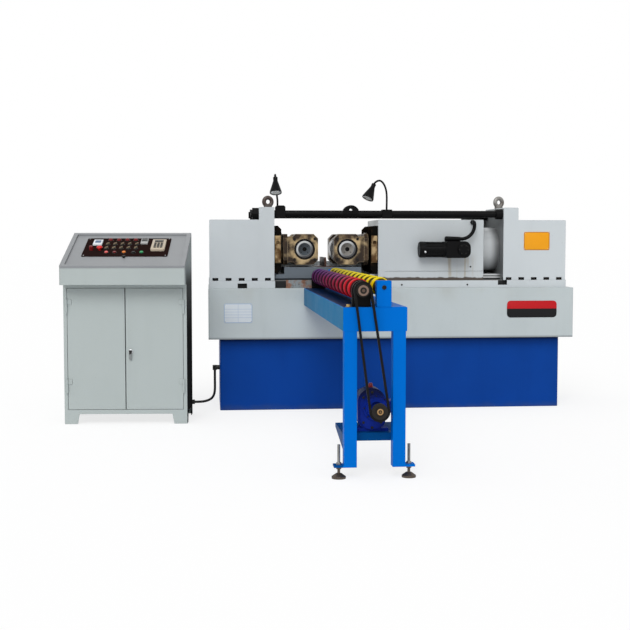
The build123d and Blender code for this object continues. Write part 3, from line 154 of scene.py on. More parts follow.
class Paint(Tree):
    """One material, which reads the Object coordinates of its piece."""

    def __init__(self, name):
        self.material = bpy.data.materials.new(name)
        self.material.use_nodes = True
        super().__init__(self.material.node_tree)
        self.shader = self.tree.nodes["Principled BSDF"]
        self.place = self.node("ShaderNodeTexCoord", {}, {}, "Object")
        self.x = self.node("ShaderNodeSeparateXYZ", {}, {0: self.place}, 0)
        self.y = self.node("ShaderNodeSeparateXYZ", {}, {0: self.place}, 1)
        self.z = self.node("ShaderNodeSeparateXYZ", {}, {0: self.place}, 2)

    def noise(self, scale, detail=3.0, stretch=(1.0, 1.0, 1.0)):
        """Noise that is drawn out along each axis with a stretch below 1."""
        place = self.node("ShaderNodeMapping", {}, {"Vector": self.place, "Scale": stretch})
        inputs = {"Vector": place, "Scale": scale, "Detail": detail}
        return self.node("ShaderNodeTexNoise", {}, inputs)

    def rounded(self, radius):
        """Normal that is rounded over the edges."""
        return self.node("ShaderNodeBevel", {"samples": 4}, {"Radius": radius})

    def edges(self, radius):
        """Share of 1 along the edges, fading out at the radius."""
        flat = self.node("ShaderNodeNewGeometry", {}, {}, "True Normal")
        settings = {"operation": "DOT_PRODUCT"}
        inputs = {0: self.rounded(radius), 1: flat}
        facing = self.node("ShaderNodeVectorMath", settings, inputs, "Value")
        return self.step(facing, 0.95, 0.78)

    def span(self, value, low, high, soft=0.001):
        """Share of 1 where the value lies between low and high."""
        rise = self.step(value, low - soft, low + soft)
        return rise * self.step(value, high + soft, high - soft)

    def from_axis(self, centre):
        """Distance from an axis along Y at (x, z)."""
        return ((self.x - centre[0]) ** 2.0 + (self.z - centre[1]) ** 2.0) ** 0.5

    def ring(self, centre, low, high):
        """Share of 1 between two radii about an axis along Y at (x, z)."""
        return self.span(self.from_axis(centre), low, high, 0.0008)

    def finish(self, colour, roughness, metallic=0.0, *, specular, coat=0.0, bump=None,
               depth=0.0005, round_edges=0.0):
        """Link what varies to the shader, set what doesn't, and give the material."""
        settings = {"Base Color": opaque(colour), "Roughness": roughness, "Metallic": metallic,
                    "Coat Weight": coat}
        self.shader.inputs["Specular IOR Level"].default_value = specular
        if bump is not None or round_edges:
            inputs = {"Distance": depth}
            if round_edges:
                inputs["Normal"] = self.rounded(round_edges)
            if bump is None:
                settings["Normal"] = inputs["Normal"]
            else:
                settings["Normal"] = self.node("ShaderNodeBump", {}, {**inputs, "Height": bump})
        for name, value in settings.items():
            if isinstance(value, Value):
                self.tree.links.new(value.socket, self.shader.inputs[name])
            else:
                self.shader.inputs[name].default_value = value
        return self.material


# Finishes

def shade(colour, share):
    """Darker or lighter colour of the same hue."""
    return tuple(part * share for part in colour)


def enamel(name, colour, wear=0.3, dirt=0.25, gloss=0.38, extra=None, coat=0.0, specular=0.3):
    """Brushed-on machine enamel with grime, streaks, orange peel and dirty edges."""
    paint = Paint(name)
    grime = paint.step(paint.noise(2.2, 5.0), 0.42, 0.75)
    streaks = paint.step(paint.noise(9.0, 4.0, (1.0, 1.0, 0.12)), 0.5, 0.8)
    specks = paint.step(paint.noise(90.0, 2.0), 0.68, 0.76)
    tone = paint.mix(grime * dirt, colour, shade(colour, 0.72))
    tone = paint.mix(streaks * dirt * 0.7, tone, shade(colour, 0.62))
    tone = paint.mix(specks * dirt * 0.8, tone, shade(colour, 0.4))
    tone = paint.mix(paint.edges(0.004) * wear, tone, shade(colour, 0.35))
    if extra is not None:
        tone = extra(paint, tone)
    peel = paint.noise(260.0, 2.0) + paint.noise(35.0, 3.0) * 0.6
    roughness = paint.noise(6.0) * 0.22 + (gloss - 0.11)
    return paint.finish(tone, roughness, specular=specular, coat=coat, bump=peel, depth=0.0004,
                        round_edges=0.002)


def bare_metal(name, colour, gloss=0.35, stain=(0.12, 0.07, 0.04), stained=0.25,
               brushed=(1.0, 1.0, 1.0), metallic=0.85, extra=None, specular=0.3):
    """Machined or cast metal with stains and a fine tool grain."""
    paint = Paint(name)
    patches = paint.step(paint.noise(14.0, 6.0), 0.48, 0.72)
    grain = paint.noise(420.0, 2.0, brushed)
    tone = paint.mix(patches * stained, colour, stain)
    tone = paint.mix(grain * 0.35, tone, shade(colour, 0.6))
    tone = paint.mix(paint.edges(0.002) * 0.3, tone, shade(colour, 1.5))
    if extra is not None:
        tone = extra(paint, tone)
    roughness = paint.noise(30.0, 4.0) * 0.25 + (gloss - 0.12)
    return paint.finish(tone, roughness, metallic, specular=specular, bump=grain, depth=0.0002,
                        round_edges=0.001)


def plastic(name, colour, gloss=0.3, coat=0.0, specular=0.3):
    """Moulded plastic with a fine texture and a little dust."""
    paint = Paint(name)
    dust = paint.step(paint.noise(60.0, 4.0), 0.5, 0.8)
    tone = paint.mix(dust * 0.25, colour, tuple(part * 0.7 + 0.02 for part in colour))
    roughness = paint.noise(80.0) * 0.2 + (gloss - 0.1)
    return paint.finish(tone, roughness, specular=specular, coat=coat,
                        bump=paint.noise(700.0, 2.0), depth=0.0001, round_edges=0.0008)


def oily_casting(name):
    """Dark brown casting, stained with oil, with painted highlights in tan round the spindles and
    along its edges.
    """
    paint = Paint(name)
    # Painted highlight: the tan patches spread round the spindles on the front faces.
    from_left = paint.from_axis((work_x - spindle_reach, axis_z))
    from_right = paint.from_axis((work_x + spindle_reach, axis_z))
    spindle_highlight = paint.step(from_left, 0.110, 0.060) | paint.step(from_right, 0.110, 0.060)
    spindle_highlight = spindle_highlight * paint.step(paint.y, head_front + 0.020, head_front + 0.004)
    patches = paint.step(paint.noise(13.0, 6.0) + spindle_highlight * 0.13, 0.50, 0.74)
    drips = paint.step(paint.noise(30.0, 5.0, (1.0, 1.0, 0.3)), 0.48, 0.70)
    tone = paint.mix(patches, (0.022, 0.012, 0.006), (0.50, 0.37, 0.20))
    tone = paint.mix(drips * 0.65, tone, (0.070, 0.038, 0.016))
    # Painted highlight: tan along the edges.
    tone = paint.mix(paint.edges(0.006) * 0.55, tone, (0.58, 0.46, 0.28))
    grain = paint.noise(150.0, 4.0)
    roughness = paint.noise(22.0, 4.0) * 0.3 + 0.24
    return paint.finish(tone, roughness, patches * 0.4 + 0.15, specular=0.3, bump=grain,
                        depth=0.0008, round_edges=0.002)


def bronze_lug(paint, tone):
    """Bare bronze lug on the front of a black swivel plate."""
    lug = paint.step(paint.y, head_front - 0.0125, head_front - 0.0145)
    worn = paint.step(paint.noise(20.0, 5.0), 0.40, 0.62)
    bronze = paint.mix(worn, (0.10, 0.055, 0.025), (0.42, 0.30, 0.16))
    return paint.mix(lug, tone, bronze)


def housing_painted_shade(paint, tone):
    """Painted shade: black in the bolt pockets, and a dark wall and plate round the ram."""
    # Painted shade in the bolt pockets.
    pocket = paint.step(paint.z, deck_top + 0.0185, deck_top + 0.0175)
    pocket = pocket * paint.step(paint.y, housing_front + 0.0004, housing_front + 0.0015)
    pocket = pocket * paint.step(paint.y, housing_front + 0.025, housing_front + 0.022)
    tone = paint.mix(pocket, tone, (0.004, 0.004, 0.004))
    # Painted shade on the right housing's inner wall beside the ram.
    behind = paint.step(paint.y, housing_front + 0.0004, housing_front + 0.005)
    wall = paint.span(paint.x, right_wall - 0.013, right_wall + 0.0002, 0.0004) * behind
    tone = paint.mix(wall * 0.80, tone, (0.050, 0.050, 0.048))
    # Painted shade on the plate behind the ram.
    guard = paint.span(paint.x, 0.50, right_wall - 0.0001, 0.0002)
    guard = guard * paint.step(paint.y, 0.132, 0.135)
    return paint.mix(guard * 0.9, tone, (0.10, 0.10, 0.098))


def carriage_stains_and_painted_shade(paint, tone):
    """Oil runs under the feed motor, a brown line along the deck, and painted shade on the right
    end beside the ram.
    """
    front = paint.y < housing_front + 0.002
    run_noise = paint.noise(40.0, 3.0, (1.0, 1.0, 0.06))
    runs = paint.step(run_noise, 0.5, 0.62) * paint.span(paint.x, 0.30, 0.50, 0.05)
    runs = runs * paint.span(paint.z, 0.83, 0.96, 0.03) * front
    tone = paint.mix(runs * 0.55, tone, (0.34, 0.27, 0.15))
    foot = paint.step(paint.z + paint.noise(30.0) * 0.02, 0.843, 0.835)
    tone = paint.mix(foot * 0.96, tone, (0.050, 0.034, 0.024))
    # Painted shade on the carriage's right end, in the gap by the ram.
    end = paint.step(paint.x, carriage_end - 0.0005, carriage_end + 0.0005)
    end = end * paint.step(paint.y, housing_front + 0.001, housing_front + 0.010)
    return paint.mix(end * 0.8, tone, (0.05, 0.05, 0.048))


def bed_mist_and_painted_shade(paint, tone):
    """Oil mist below the deck, and painted shade: a darker line along the bed's lower edge."""
    mist = paint.step(paint.noise(5.0, 5.0, (1.0, 1.0, 0.5)), 0.45, 0.75)
    mist = mist * paint.step(paint.z, 0.62, 0.76)
    tone = paint.mix(mist * 0.25, tone, (0.30, 0.27, 0.20))
    # Painted shade along the bed's lower edge.
    return paint.mix(paint.step(paint.z, 0.466, 0.452) * 0.6, tone, (0.10, 0.11, 0.12))


def ways_painted_shade(paint, tone):
    """Painted shade: black along the foot and in the groove of the ground ways."""
    # Painted shade under the ways and in their groove.
    dark = paint.step(paint.z, deck_top + 0.013, deck_top + 0.010)
    dark = dark | paint.span(paint.z, deck_top + 0.021, deck_top + 0.027)
    return paint.mix(dark * 0.95, tone, (0.008, 0.008, 0.008))


def ram_painted_shade(paint, tone):
    """Painted shade on the ram's ends, in the gaps beside the carriage and the housing."""
    # Painted shade: darker ram ends next to the carriage and the housing.
    edge = paint.step(paint.x, carriage_end + 0.018, carriage_end + 0.004)
    edge = edge | paint.step(paint.x, right_wall - 0.063, right_wall - 0.003)
    return paint.mix(edge * 0.8, tone, (0.045, 0.045, 0.045))


def deck_oil_and_painted_shade(paint, tone):
    """Dark oil on the deck between the housings, and painted shade: black in the hollows behind its
    front.
    """
    top = paint.step(paint.z, deck_top - 0.004, deck_top)
    bay = paint.span(paint.x, -0.76, 0.70, 0.004) * top
    tone = paint.mix(bay * 0.7, tone, (0.13, 0.11, 0.09))
    # Painted shade in the hollows behind the deck's front.
    hollow = paint.span(paint.y, deck_front + 0.003, deck_front + 0.055) * (1.0 - top)
    return paint.mix(hollow * 0.97, tone, (0.004, 0.004, 0.004))


def base_foot_and_painted_shade(paint, tone):
    """Darker, mottled foot, and painted shade: a near-black band along the top of the blue base,
    under the bed.
    """
    foot = paint.step(paint.z + paint.noise(12.0, 5.0) * 0.06, 0.07, 0.025)
    tone = paint.mix(foot * 0.35, tone, (0.05, 0.07, 0.11))
    # Painted shade under the bed's overhang along the top of the base.
    return paint.mix(paint.step(paint.z, 0.420, 0.447) * 0.85, tone, (0.001, 0.004, 0.016))


def stand_painted_light_and_shade(paint, tone):
    """Painted light on the beam's left side, a lighter and greyer blue partly from faded paint;
    painted shade on the legs' left sides; a dark strip on the top under the driven roller.
    """
    # Painted light on the beam's left side and painted shade on the legs' left sides.
    left = paint.step(paint.x, -0.5588, -0.5596)
    beam = paint.step(paint.z, 0.50, 0.56)
    tone = paint.mix(left * beam * 0.9, tone, (0.007, 0.162, 0.32))
    tone = paint.mix(left * (1.0 - beam) * 0.8, tone, (0.000, 0.045, 0.17))
    # Dark strip along the beam's top under the driven roller.
    top = paint.step(paint.z, beam_top - 0.0012, beam_top - 0.0004)
    dark_top_strip = paint.step(paint.x + paint.noise(18.0, 4.0) * 0.05, -0.375, -0.425) * top
    return paint.mix(dark_top_strip * 0.92, tone, (0.006, 0.010, 0.022))


def desk_side_painted_shade(paint, tone):
    """Painted shade on the right side of the desk, darkest near the floor."""
    # Painted shade on the desk's right side.
    side = paint.step(paint.x, -1.2775, -1.2755)
    tone = paint.mix(side * paint.step(paint.z, 0.95, 0.80) * 0.95, tone, (0.070, 0.070, 0.068))
    return paint.mix(side * paint.step(paint.z, 0.85, 0.50) * 0.92, tone, (0.012, 0.012, 0.012))


def spindle_face(x, end):
    """Lock nut and spindle end lit and shaded across a diagonal by a painted highlight, painted
    shade in the gap round the nut, and a black centre, about the spindle's axis.
    """
    def rings(paint, tone):
        centre = (x, axis_z)
        middle = axis_z - x * 0.8
        # Painted highlight: the nut lighter and the end darker towards the upper left.
        painted_light_share = paint.step(paint.z - paint.x * 0.8, middle - 0.05, middle + 0.05)
        chrome = paint.mix(painted_light_share, (0.085, 0.085, 0.088), (0.55, 0.57, 0.58))
        tone = paint.mix(paint.ring(centre, 0.041, 0.052), tone, chrome)
        # Painted shade in the gap round the nut.
        tone = paint.mix(paint.ring(centre, 0.052, 0.060), tone, (0.02, 0.018, 0.016))
        bare_end = paint.mix(painted_light_share, end, shade(end, 0.4))
        tone = paint.mix(paint.ring(centre, 0.000, 0.039), tone, bare_end)
        return paint.mix(paint.ring(centre, 0.000, 0.0135), tone, (0.01, 0.01, 0.01))
    return rings


def pulley_face(centre, hub, tint):
    """Coloured hub on a dark pulley."""
    def rings(paint, tone):
        near = paint.step(paint.y, stand_front + 0.001, stand_front - 0.004)
        tone = paint.mix(near * 0.9, tone, (0.02, 0.018, 0.016))
        tone = paint.mix(paint.ring(centre, hub * 0.62, hub) * near, tone, tint)
        return paint.mix(paint.ring(centre, 0.0, hub * 0.3) * near, tone, shade(tint, 0.5))
    return rings


def foot_stains(paint, tone):
    """Dull threaded rods and brown rusty pads of the levelling feet."""
    rod = paint.span(paint.z, 0.075, 0.2) * paint.step(paint.noise(9.0), 0.3, 0.7)
    tone = paint.mix(rod * 0.5, tone, (0.06, 0.06, 0.05))
    pad = paint.step(paint.z + paint.noise(40.0, 4.0) * 0.02, 0.075, 0.055)
    return paint.mix(pad * 0.9, tone, (0.085, 0.062, 0.046))


def eye_rust(paint, tone):
    """Brown rust on the left lifting eye."""
    return paint.mix(paint.step(paint.x, 0.5, -0.5) * 0.8, tone, (0.060, 0.040, 0.034))


def dark_drive_top(paint, tone):
    """Near-black upper part of the drive."""
    top = paint.step(paint.z + paint.noise(20.0, 4.0) * 0.04, 0.345, 0.395)
    return paint.mix(top * 0.85, tone, (0.004, 0.005, 0.012))


def lock_wear(paint, tone):
    """Worn grey lower end of the lock's handle."""
    return paint.mix(paint.step(paint.z, 0.410, 0.402), tone, (0.20, 0.215, 0.215))


def roller_rubber(name, axis, near, middle, far, crown, clean_share):
    """Polyurethane rings, oil-stained towards the machine, with a painted reflection on top and
    painted shade at the ring ends.
    """
    paint = Paint(name)
    tone = paint.mix(paint.step(paint.y, -2.42, -1.75), near, middle)
    tone = paint.mix(paint.step(paint.y, -1.9, -0.6), tone, far)
    # Painted reflection: tinted top of the rings.
    top = paint.step(paint.z, axis[1] + 0.012, axis[1] + 0.040)
    tone = paint.mix(top * paint.step(paint.y, -2.3, -1.6) * 0.5, tone, crown)
    smear = paint.step(paint.noise(22.0, 5.0, (1.0, 0.5, 1.0)), 0.48, 0.75)
    tone = paint.mix(smear * 0.45, tone, shade(far, 0.4))
    # Painted shade in the gaps between the rings: black ring ends.
    pitches = (paint.y - roller_near) * (1 / ring_pitch)
    phase = paint.node("ShaderNodeMath", {"operation": "FRACT"}, {0: pitches})
    from_middle = abs(phase - 0.5) + paint.noise(30.0, 4.0) * 0.06 - 0.03
    ends = paint.step(from_middle, clean_share / 2 - 0.02, clean_share / 2 + 0.03)
    tone = paint.mix(ends * 0.94, tone, (0.006, 0.004, 0.006))
    roughness = paint.noise(40.0) * 0.25 + 0.26
    return paint.finish(tone, roughness, specular=0.01, bump=paint.noise(200.0), depth=0.0004,
                        round_edges=0.003)


def rust_sheet(name):
    """Bare sheet steel with patches of rust and spots of oil."""
    paint = Paint(name)
    rust = paint.step(paint.noise(28.0, 6.0), 0.42, 0.62)
    tone = paint.mix(rust * 0.8, (0.26, 0.29, 0.30), (0.24, 0.085, 0.03))
    oil = paint.step(paint.noise(70.0, 5.0), 0.55, 0.7)
    tone = paint.mix(oil * 0.5, tone, (0.05, 0.04, 0.035))
    roughness = paint.noise(50.0) * 0.3 + 0.35
    return paint.finish(tone, roughness, 1.0 - rust * 0.6, specular=0.2,
                        bump=paint.noise(180.0, 4.0))


def bordered_plate(name, low, high, field, border, rim, lower=None, rule=None):
    """Bare plate with a border, an optional lower field and optional ruled lines."""
    paint = Paint(name)
    inside = paint.span(paint.x, low[0] + rim, high[0] - rim)
    inside = inside * paint.span(paint.z, low[1] + rim, high[1] - rim)
    tone = paint.mix(paint.noise(40.0, 4.0) * 0.3, field, shade(field, 0.8))
    if lower is not None:
        split = low[1] + (high[1] - low[1]) * 0.53
        tone = paint.mix(paint.step(paint.z, split + 0.001, split - 0.001), tone, lower)
    if rule is not None:
        inputs = {"Vector": paint.place, "Scale": 18.0}
        wave = paint.node("ShaderNodeTexWave", {"bands_direction": "Z"}, inputs)
        lines = paint.step(wave, 0.93, 0.99) * paint.span(paint.z, low[1] + 0.018, high[1] - 0.03)
        columns = paint.span(abs(paint.x - (low[0] + high[0]) / 2), 0.0, 0.0012)
        tone = paint.mix((lines | columns) * 0.6, tone, rule)
    tone = paint.mix(inside, border, tone)
    return paint.finish(tone, 0.35, specular=0.2, round_edges=0.001)


machine_grey = (0.535, 0.575, 0.595)
black_iron = (0.010, 0.009, 0.008)
spindle_steel = (0.26, 0.27, 0.28)
left_face = spindle_face(work_x - spindle_reach, (0.080, 0.095, 0.110))
right_face = spindle_face(work_x + spindle_reach, (0.24, 0.23, 0.21))
red_pulley = pulley_face(red_axis, 0.0235, (0.20, 0.135, 0.105))
brown_pulley = pulley_face(motor_axis, 0.014, (0.40, 0.24, 0.10))
finishes = {
    "bed": enamel("bed_enamel", (0.455, 0.505, 0.515), extra=bed_mist_and_painted_shade),
    "deck": enamel("deck_enamel", machine_grey, extra=deck_oil_and_painted_shade, specular=0.12),
    "housing": enamel("housing_enamel", machine_grey, dirt=0.15, extra=housing_painted_shade,
                      specular=0.15),
    "cover": enamel("cover_enamel", machine_grey, dirt=0.2),
    "carriage": enamel("carriage_enamel", (0.49, 0.525, 0.54), dirt=0.2, extra=carriage_stains_and_painted_shade),
    "base": enamel("base_enamel", (0.003, 0.048, 0.275), dirt=0.3, extra=base_foot_and_painted_shade,
                   specular=0.05),
    "stand": enamel("stand_enamel", (0.000, 0.136, 0.56), dirt=0.2, wear=0.2, extra=stand_painted_light_and_shade,
                    specular=0.02),
    "shelf": enamel("shelf_enamel", (0.0005, 0.055, 0.20), dirt=0.5, specular=0.02),
    "desk": enamel("desk_enamel", (0.40, 0.445, 0.44), dirt=0.15, specular=0.15),
    "desk_side": enamel("desk_side_enamel", (0.40, 0.44, 0.43), dirt=0.15, extra=desk_side_painted_shade,
                        specular=0.0),
    "desk_lid": enamel("console_enamel", (0.29, 0.302, 0.315), dirt=0.2, specular=0.15),
    "saddle": enamel("saddle_enamel", (0.125, 0.150, 0.175), dirt=0.7, wear=0.6),
    "ram": enamel("ram_enamel", (0.51, 0.535, 0.55), gloss=0.22, coat=0.4, extra=ram_painted_shade),
    "motor": enamel("motor_enamel", (0.003, 0.022, 0.26), dirt=0.7, wear=0.7,
                    extra=dark_drive_top, specular=0.08),
    "black": enamel("black_enamel", (0.0035, 0.0035, 0.0038), dirt=0.4, gloss=0.40, specular=0.08),
    "casting": oily_casting("oily_casting"),
    "plate": bare_metal("black_plate", (0.006, 0.0055, 0.005), 0.45, (0.045, 0.025, 0.012), 0.5,
                        metallic=0.0, extra=bronze_lug, specular=0.0),
    "left_spindle": bare_metal("left_spindle_steel", spindle_steel, 0.30, extra=left_face),
    "right_spindle": bare_metal("right_spindle_steel", spindle_steel, 0.30, extra=right_face),
    "ways": bare_metal("ground_ways", (0.55, 0.57, 0.58), 0.3, stained=0.4,
                       brushed=(0.03, 1.0, 1.0), extra=ways_painted_shade),
    "rest": bare_metal("rest_steel", (0.060, 0.022, 0.013), 0.4, (0.02, 0.012, 0.01), 0.6,
                       metallic=0.3),
    "tube": bare_metal("roller_tube", black_iron, 0.45, metallic=0.2, specular=0.15),
    "red_roller": bare_metal("red_roller_steel", black_iron, 0.45, metallic=0.2,
                             extra=red_pulley, specular=0.15),
    "motor_pulley": bare_metal("motor_pulley_iron", black_iron, 0.45, metallic=0.2,
                               extra=brown_pulley, specular=0.15),
    "zinc": bare_metal("dull_zinc", (0.30, 0.30, 0.29), 0.42, (0.09, 0.06, 0.045), 0.5,
                       extra=foot_stains),
    "eye": bare_metal("forged_eyes", (0.30, 0.29, 0.275), 0.45, (0.045, 0.025, 0.015), 0.8,
                      metallic=0.5, extra=eye_rust),
    "bolt": bare_metal("black_bolts", black_iron, 0.4, (0.04, 0.02, 0.01), 0.4, metallic=0.3),
    "brass": bare_metal("yellow_zinc", (0.48, 0.34, 0.14), 0.35),
    "red_rings": roller_rubber(
        "red_rings", red_axis, near=(0.58, 0.005, 0.008), middle=(0.27, 0.007, 0.030),
        far=(0.085, 0.013, 0.075), crown=(0.075, 0.040, 0.19), clean_share=0.40),
    "yellow_rings": roller_rubber(
        "yellow_rings", yellow_axis, near=(0.80, 0.62, 0.004), middle=(0.72, 0.55, 0.008),
        far=(0.20, 0.13, 0.03), crown=(0.66, 0.58, 0.03), clean_share=0.36),
    "chip_guard": rust_sheet("rusty_sheet"),
    "belt": plastic("belt_rubber", (0.005, 0.005, 0.005), 0.5, specular=0.1),
    "cable": plastic("cable_sheath", (0.005, 0.005, 0.005), 0.45, specular=0.15),
    "panel": plastic("panel_face", (0.020, 0.010, 0.009), 0.50, specular=0.0),
    "lens": plastic("lamp_lens", (0.80, 0.82, 0.80), 0.12, 1.0),
    "lock": enamel("lock_enamel", (0.008, 0.008, 0.008), dirt=0.2, extra=lock_wear),
    "black_plastic": plastic("black_plastic", (0.006, 0.006, 0.006), specular=0.2),
    "red_plastic": plastic("red_plastic", (0.58, 0.010, 0.008)),
    "dark_red_plastic": plastic("dark_red_plastic", (0.16, 0.006, 0.007)),
    "pink_plastic": plastic("pink_plastic", (0.75, 0.12, 0.11)),
    "orange_plastic": plastic("orange_plastic", (0.75, 0.20, 0.02)),
    "green_plastic": plastic("green_plastic", (0.03, 0.33, 0.12)),
    "tan_plastic": plastic("tan_plastic", (0.26, 0.20, 0.13), specular=0.1),
    "beige_plastic": plastic("beige_plastic", (0.52, 0.44, 0.34), specular=0.15),
    "grey_plastic": plastic("grey_plastic", (0.42, 0.42, 0.42)),
    "white_plastic": plastic("white_plastic", (0.72, 0.76, 0.80)),
    "blue_plastic": plastic("blue_plastic", (0.03, 0.10, 0.22)),
    "silver": bare_metal("satin_bezels", (0.55, 0.56, 0.57), 0.25, stained=0.1),
    "light_blue": enamel("terminal_box_enamel", (0.05, 0.20, 0.48), dirt=0.3),
}
node_finishes = {
    "base": ["base_pedestal"], "bed": ["bed_casing"], "deck": ["deck"],
    "housing": ["left_housing", "right_housing"], "cover": ["rear_cover"], "carriage": ["carriage"],
    "black": ["tie_bars", "tie_bar_nuts", "bar_clip", "lamp_clamps", "lamp_necks", "lamp_heads",
              "feed_gearbox", "feed_motor", "feed_conduit", "red_roller_brackets"],
    "lens": ["lamp_lenses"], "eye": ["lifting_eyes"], "zinc": ["stand_feet"], "saddle": ["saddle"],
    "rest": ["work_rest"], "ways": ["ways"], "ram": ["ram"], "chip_guard": ["chip_guard"],
    "stand": ["stand_beam", "stand_legs", "yellow_roller_brackets"], "shelf": ["motor_shelf"],
    "red_roller": ["red_roller"], "red_rings": ["red_roller_rings"], "tube": ["yellow_roller"],
    "yellow_rings": ["yellow_roller_rings"], "belt": ["belt"], "motor_pulley": ["motor_pulley"],
    "motor": ["reducer", "drive_motor"], "desk_lid": ["console_lid"], "panel": ["control_panel"],
    "desk": ["desk_back", "desk_floor", "desk_front", "left_door", "right_door", "door_hinges",
             "console_lip"],
    "desk_side": ["desk_sides", "console_cheeks"],
    "black_plastic": ["cable_glands", "panel_controls"], "cable": ["cable"], "lock": ["door_lock"],
    "plate": ["left_swivel_plate", "right_swivel_plate"],
    "casting": ["left_yoke", "left_bearings", "right_yoke", "right_bearings"],
    "left_spindle": ["left_spindle"], "right_spindle": ["right_spindle"],
}
for finish, names in node_finishes.items():
    for name in names:
        nodes[name].data.materials.clear()
        nodes[name].data.materials.append(finishes[finish])


# Camera, light and floor

def make_camera():
    """Camera fitted to the photo."""
    data = bpy.data.cameras.new("photo_camera")
    data.lens = 65.78
    data.sensor_width = 36.0
    data.clip_end = 200.0
    camera = bpy.data.objects.new("photo_camera", data)
    camera.location = (-1.1488, -7.4743, 1.0557)
    camera.rotation_euler = (math.radians(90.0 - 3.673), 0.0, math.radians(-5.291))
    scene.collection.objects.link(camera)
    scene.camera = camera


def seen_directly(tree):
    """Share of 1 for what the camera sees, also in gloss and through glass."""
    rays = ("Camera", "Glossy", "Transmission")
    seen = [tree.node("ShaderNodeLightPath", {}, {}, "Is " + ray + " Ray") for ray in rays]
    return seen[0] | seen[1] | seen[2]


def make_world():
    """White backdrop with a soft light that is stronger from the left and the front."""
    scene.world = bpy.data.worlds.new("studio")
    scene.world.use_nodes = True
    tree = Tree(scene.world.node_tree)
    scene.world.node_tree.nodes.clear()
    heading = tree.node("ShaderNodeTexCoord", {}, {}, "Generated")
    right = tree.node("ShaderNodeSeparateXYZ", {}, {0: heading}, 0)
    rear = tree.node("ShaderNodeSeparateXYZ", {}, {0: heading}, 1)
    level = 0.62 - right * 0.22 - rear * 0.10
    soft = tree.node("ShaderNodeBackground", {}, {0: white, 1: level})
    backdrop = tree.node("ShaderNodeBackground", {}, {0: white, 1: 1.0})
    both = tree.node("ShaderNodeMixShader", {}, {0: seen_directly(tree), 1: soft, 2: backdrop})
    link_output(tree, "ShaderNodeOutputWorld", both)


def link_output(tree, kind, value):
    """Output node of a material or the world, fed by a shader."""
    output = tree.tree.nodes.new(kind)
    tree.tree.links.new(value.socket, output.inputs[0])


def make_sun():
    """Soft sun from the front, a little to the left."""
    data = bpy.data.lights.new("soft_sun", "SUN")
    data.energy = 1.52
    data.angle = math.radians(35.0)
    sun = bpy.data.objects.new("soft_sun", data)
    sun.rotation_euler = (math.radians(52.0), 0.0, math.radians(-12.0))
    scene.collection.objects.link(sun)


def make_floor():
    """Pale floor that keeps the object's shadow and runs out into the backdrop."""
    shape = bmesh.new()
    bmesh.ops.create_grid(shape, x_segments=1, y_segments=1, size=60.0)
    bmesh.ops.translate(shape, vec=(0.0, 0.0, -0.0006), verts=shape.verts)
    mesh = bpy.data.meshes.new("floor")
    shape.to_mesh(mesh)
    shape.free()
    material = bpy.data.materials.new("pale_floor")
    material.use_nodes = True
    material.node_tree.nodes.clear()
    tree = Tree(material.node_tree)
    diffuse = tree.node("ShaderNodeBsdfDiffuse", {}, {0: (0.93, 0.93, 0.93, 1.0)})
    glow = tree.node("ShaderNodeEmission", {}, {0: white, 1: 1.05})
    share = seen_directly(tree) * 0.72
    both = tree.node("ShaderNodeMixShader", {}, {0: share, 1: diffuse, 2: glow})
    link_output(tree, "ShaderNodeOutputMaterial", both)
    mesh.materials.append(material)
    floor = bpy.data.objects.new("floor", mesh)
    scene.collection.objects.link(floor)


scene.view_settings.view_transform = "Standard"
make_camera()
make_world()
make_sun()
make_floor()


# Cable from the desk to the base

def make_cable():
    """Cord with a soft bend, in place of the CAD cable."""
    route = [
        tuple(desk_place @ Vector((0.371, 0.350, 0.078))),
        tuple(desk_place @ Vector((0.411, 0.350, 0.078))),
        (-1.160, -0.453, 0.082),
        (-1.132, -0.423, 0.092),
        (-1.117, -0.377, 0.110),
        (-1.112, -0.327, 0.138),
        (-1.112, -0.294, 0.173),
        (-1.112, -0.278, 0.212),
        (-1.112, -0.278, 0.252),
    ]
    curve = bpy.data.curves.new("desk_cable", "CURVE")
    curve.dimensions = "3D"
    curve.bevel_depth = 0.0075
    curve.bevel_resolution = 5
    curve.use_fill_caps = True
    spline = curve.splines.new("NURBS")
    spline.points.add(len(route) - 1)
    for point, place in zip(spline.points, route):
        point.co = (*place, 1.0)
    spline.order_u = 3
    spline.use_endpoint_u = True
    spline.resolution_u = 10
    curve.materials.append(finishes["cable"])
    cable = bpy.data.objects.new("desk_cable", curve)
    scene.collection.objects.link(cable)
    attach(cable, "frame")
    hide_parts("cable")


make_cable()


# Shapes, each in its own bmesh with its foot at the origin and its front along +Z

def turned(profile, steps=24):
    """Closed solid turned about Z from (radius, height) points, with a flat foot."""
    closing = (0.0, profile[-1][1]) if profile[0][0] == 0.0 else profile[0]
    if profile[-1] != closing:
        profile = [*profile, closing]
    shape = bmesh.new()
    points = [shape.verts.new((radius, 0.0, height)) for radius, height in profile]
    lines = [shape.edges.new(pair) for pair in zip(points, points[1:])]
    bmesh.ops.spin(shape, geom=points + lines, cent=(0, 0, 0), axis=(0, 0, 1), angle=math.tau,
                   steps=steps, use_merge=True)
    bmesh.ops.remove_doubles(shape, verts=shape.verts, dist=1e-6)
    bmesh.ops.recalc_face_normals(shape, faces=shape.faces)
    return shape


def soften(shape, lines, size, segments):
    """Round some edges of a shape."""
    bmesh.ops.bevel(shape, geom=lines, offset=size, affect="EDGES", segments=segments,
                    profile=0.5, material=-1)


def top_edges(shape):
    """Edges round the highest face."""
    return list(max(shape.faces, key=lambda face: face.calc_center_median().z).edges)


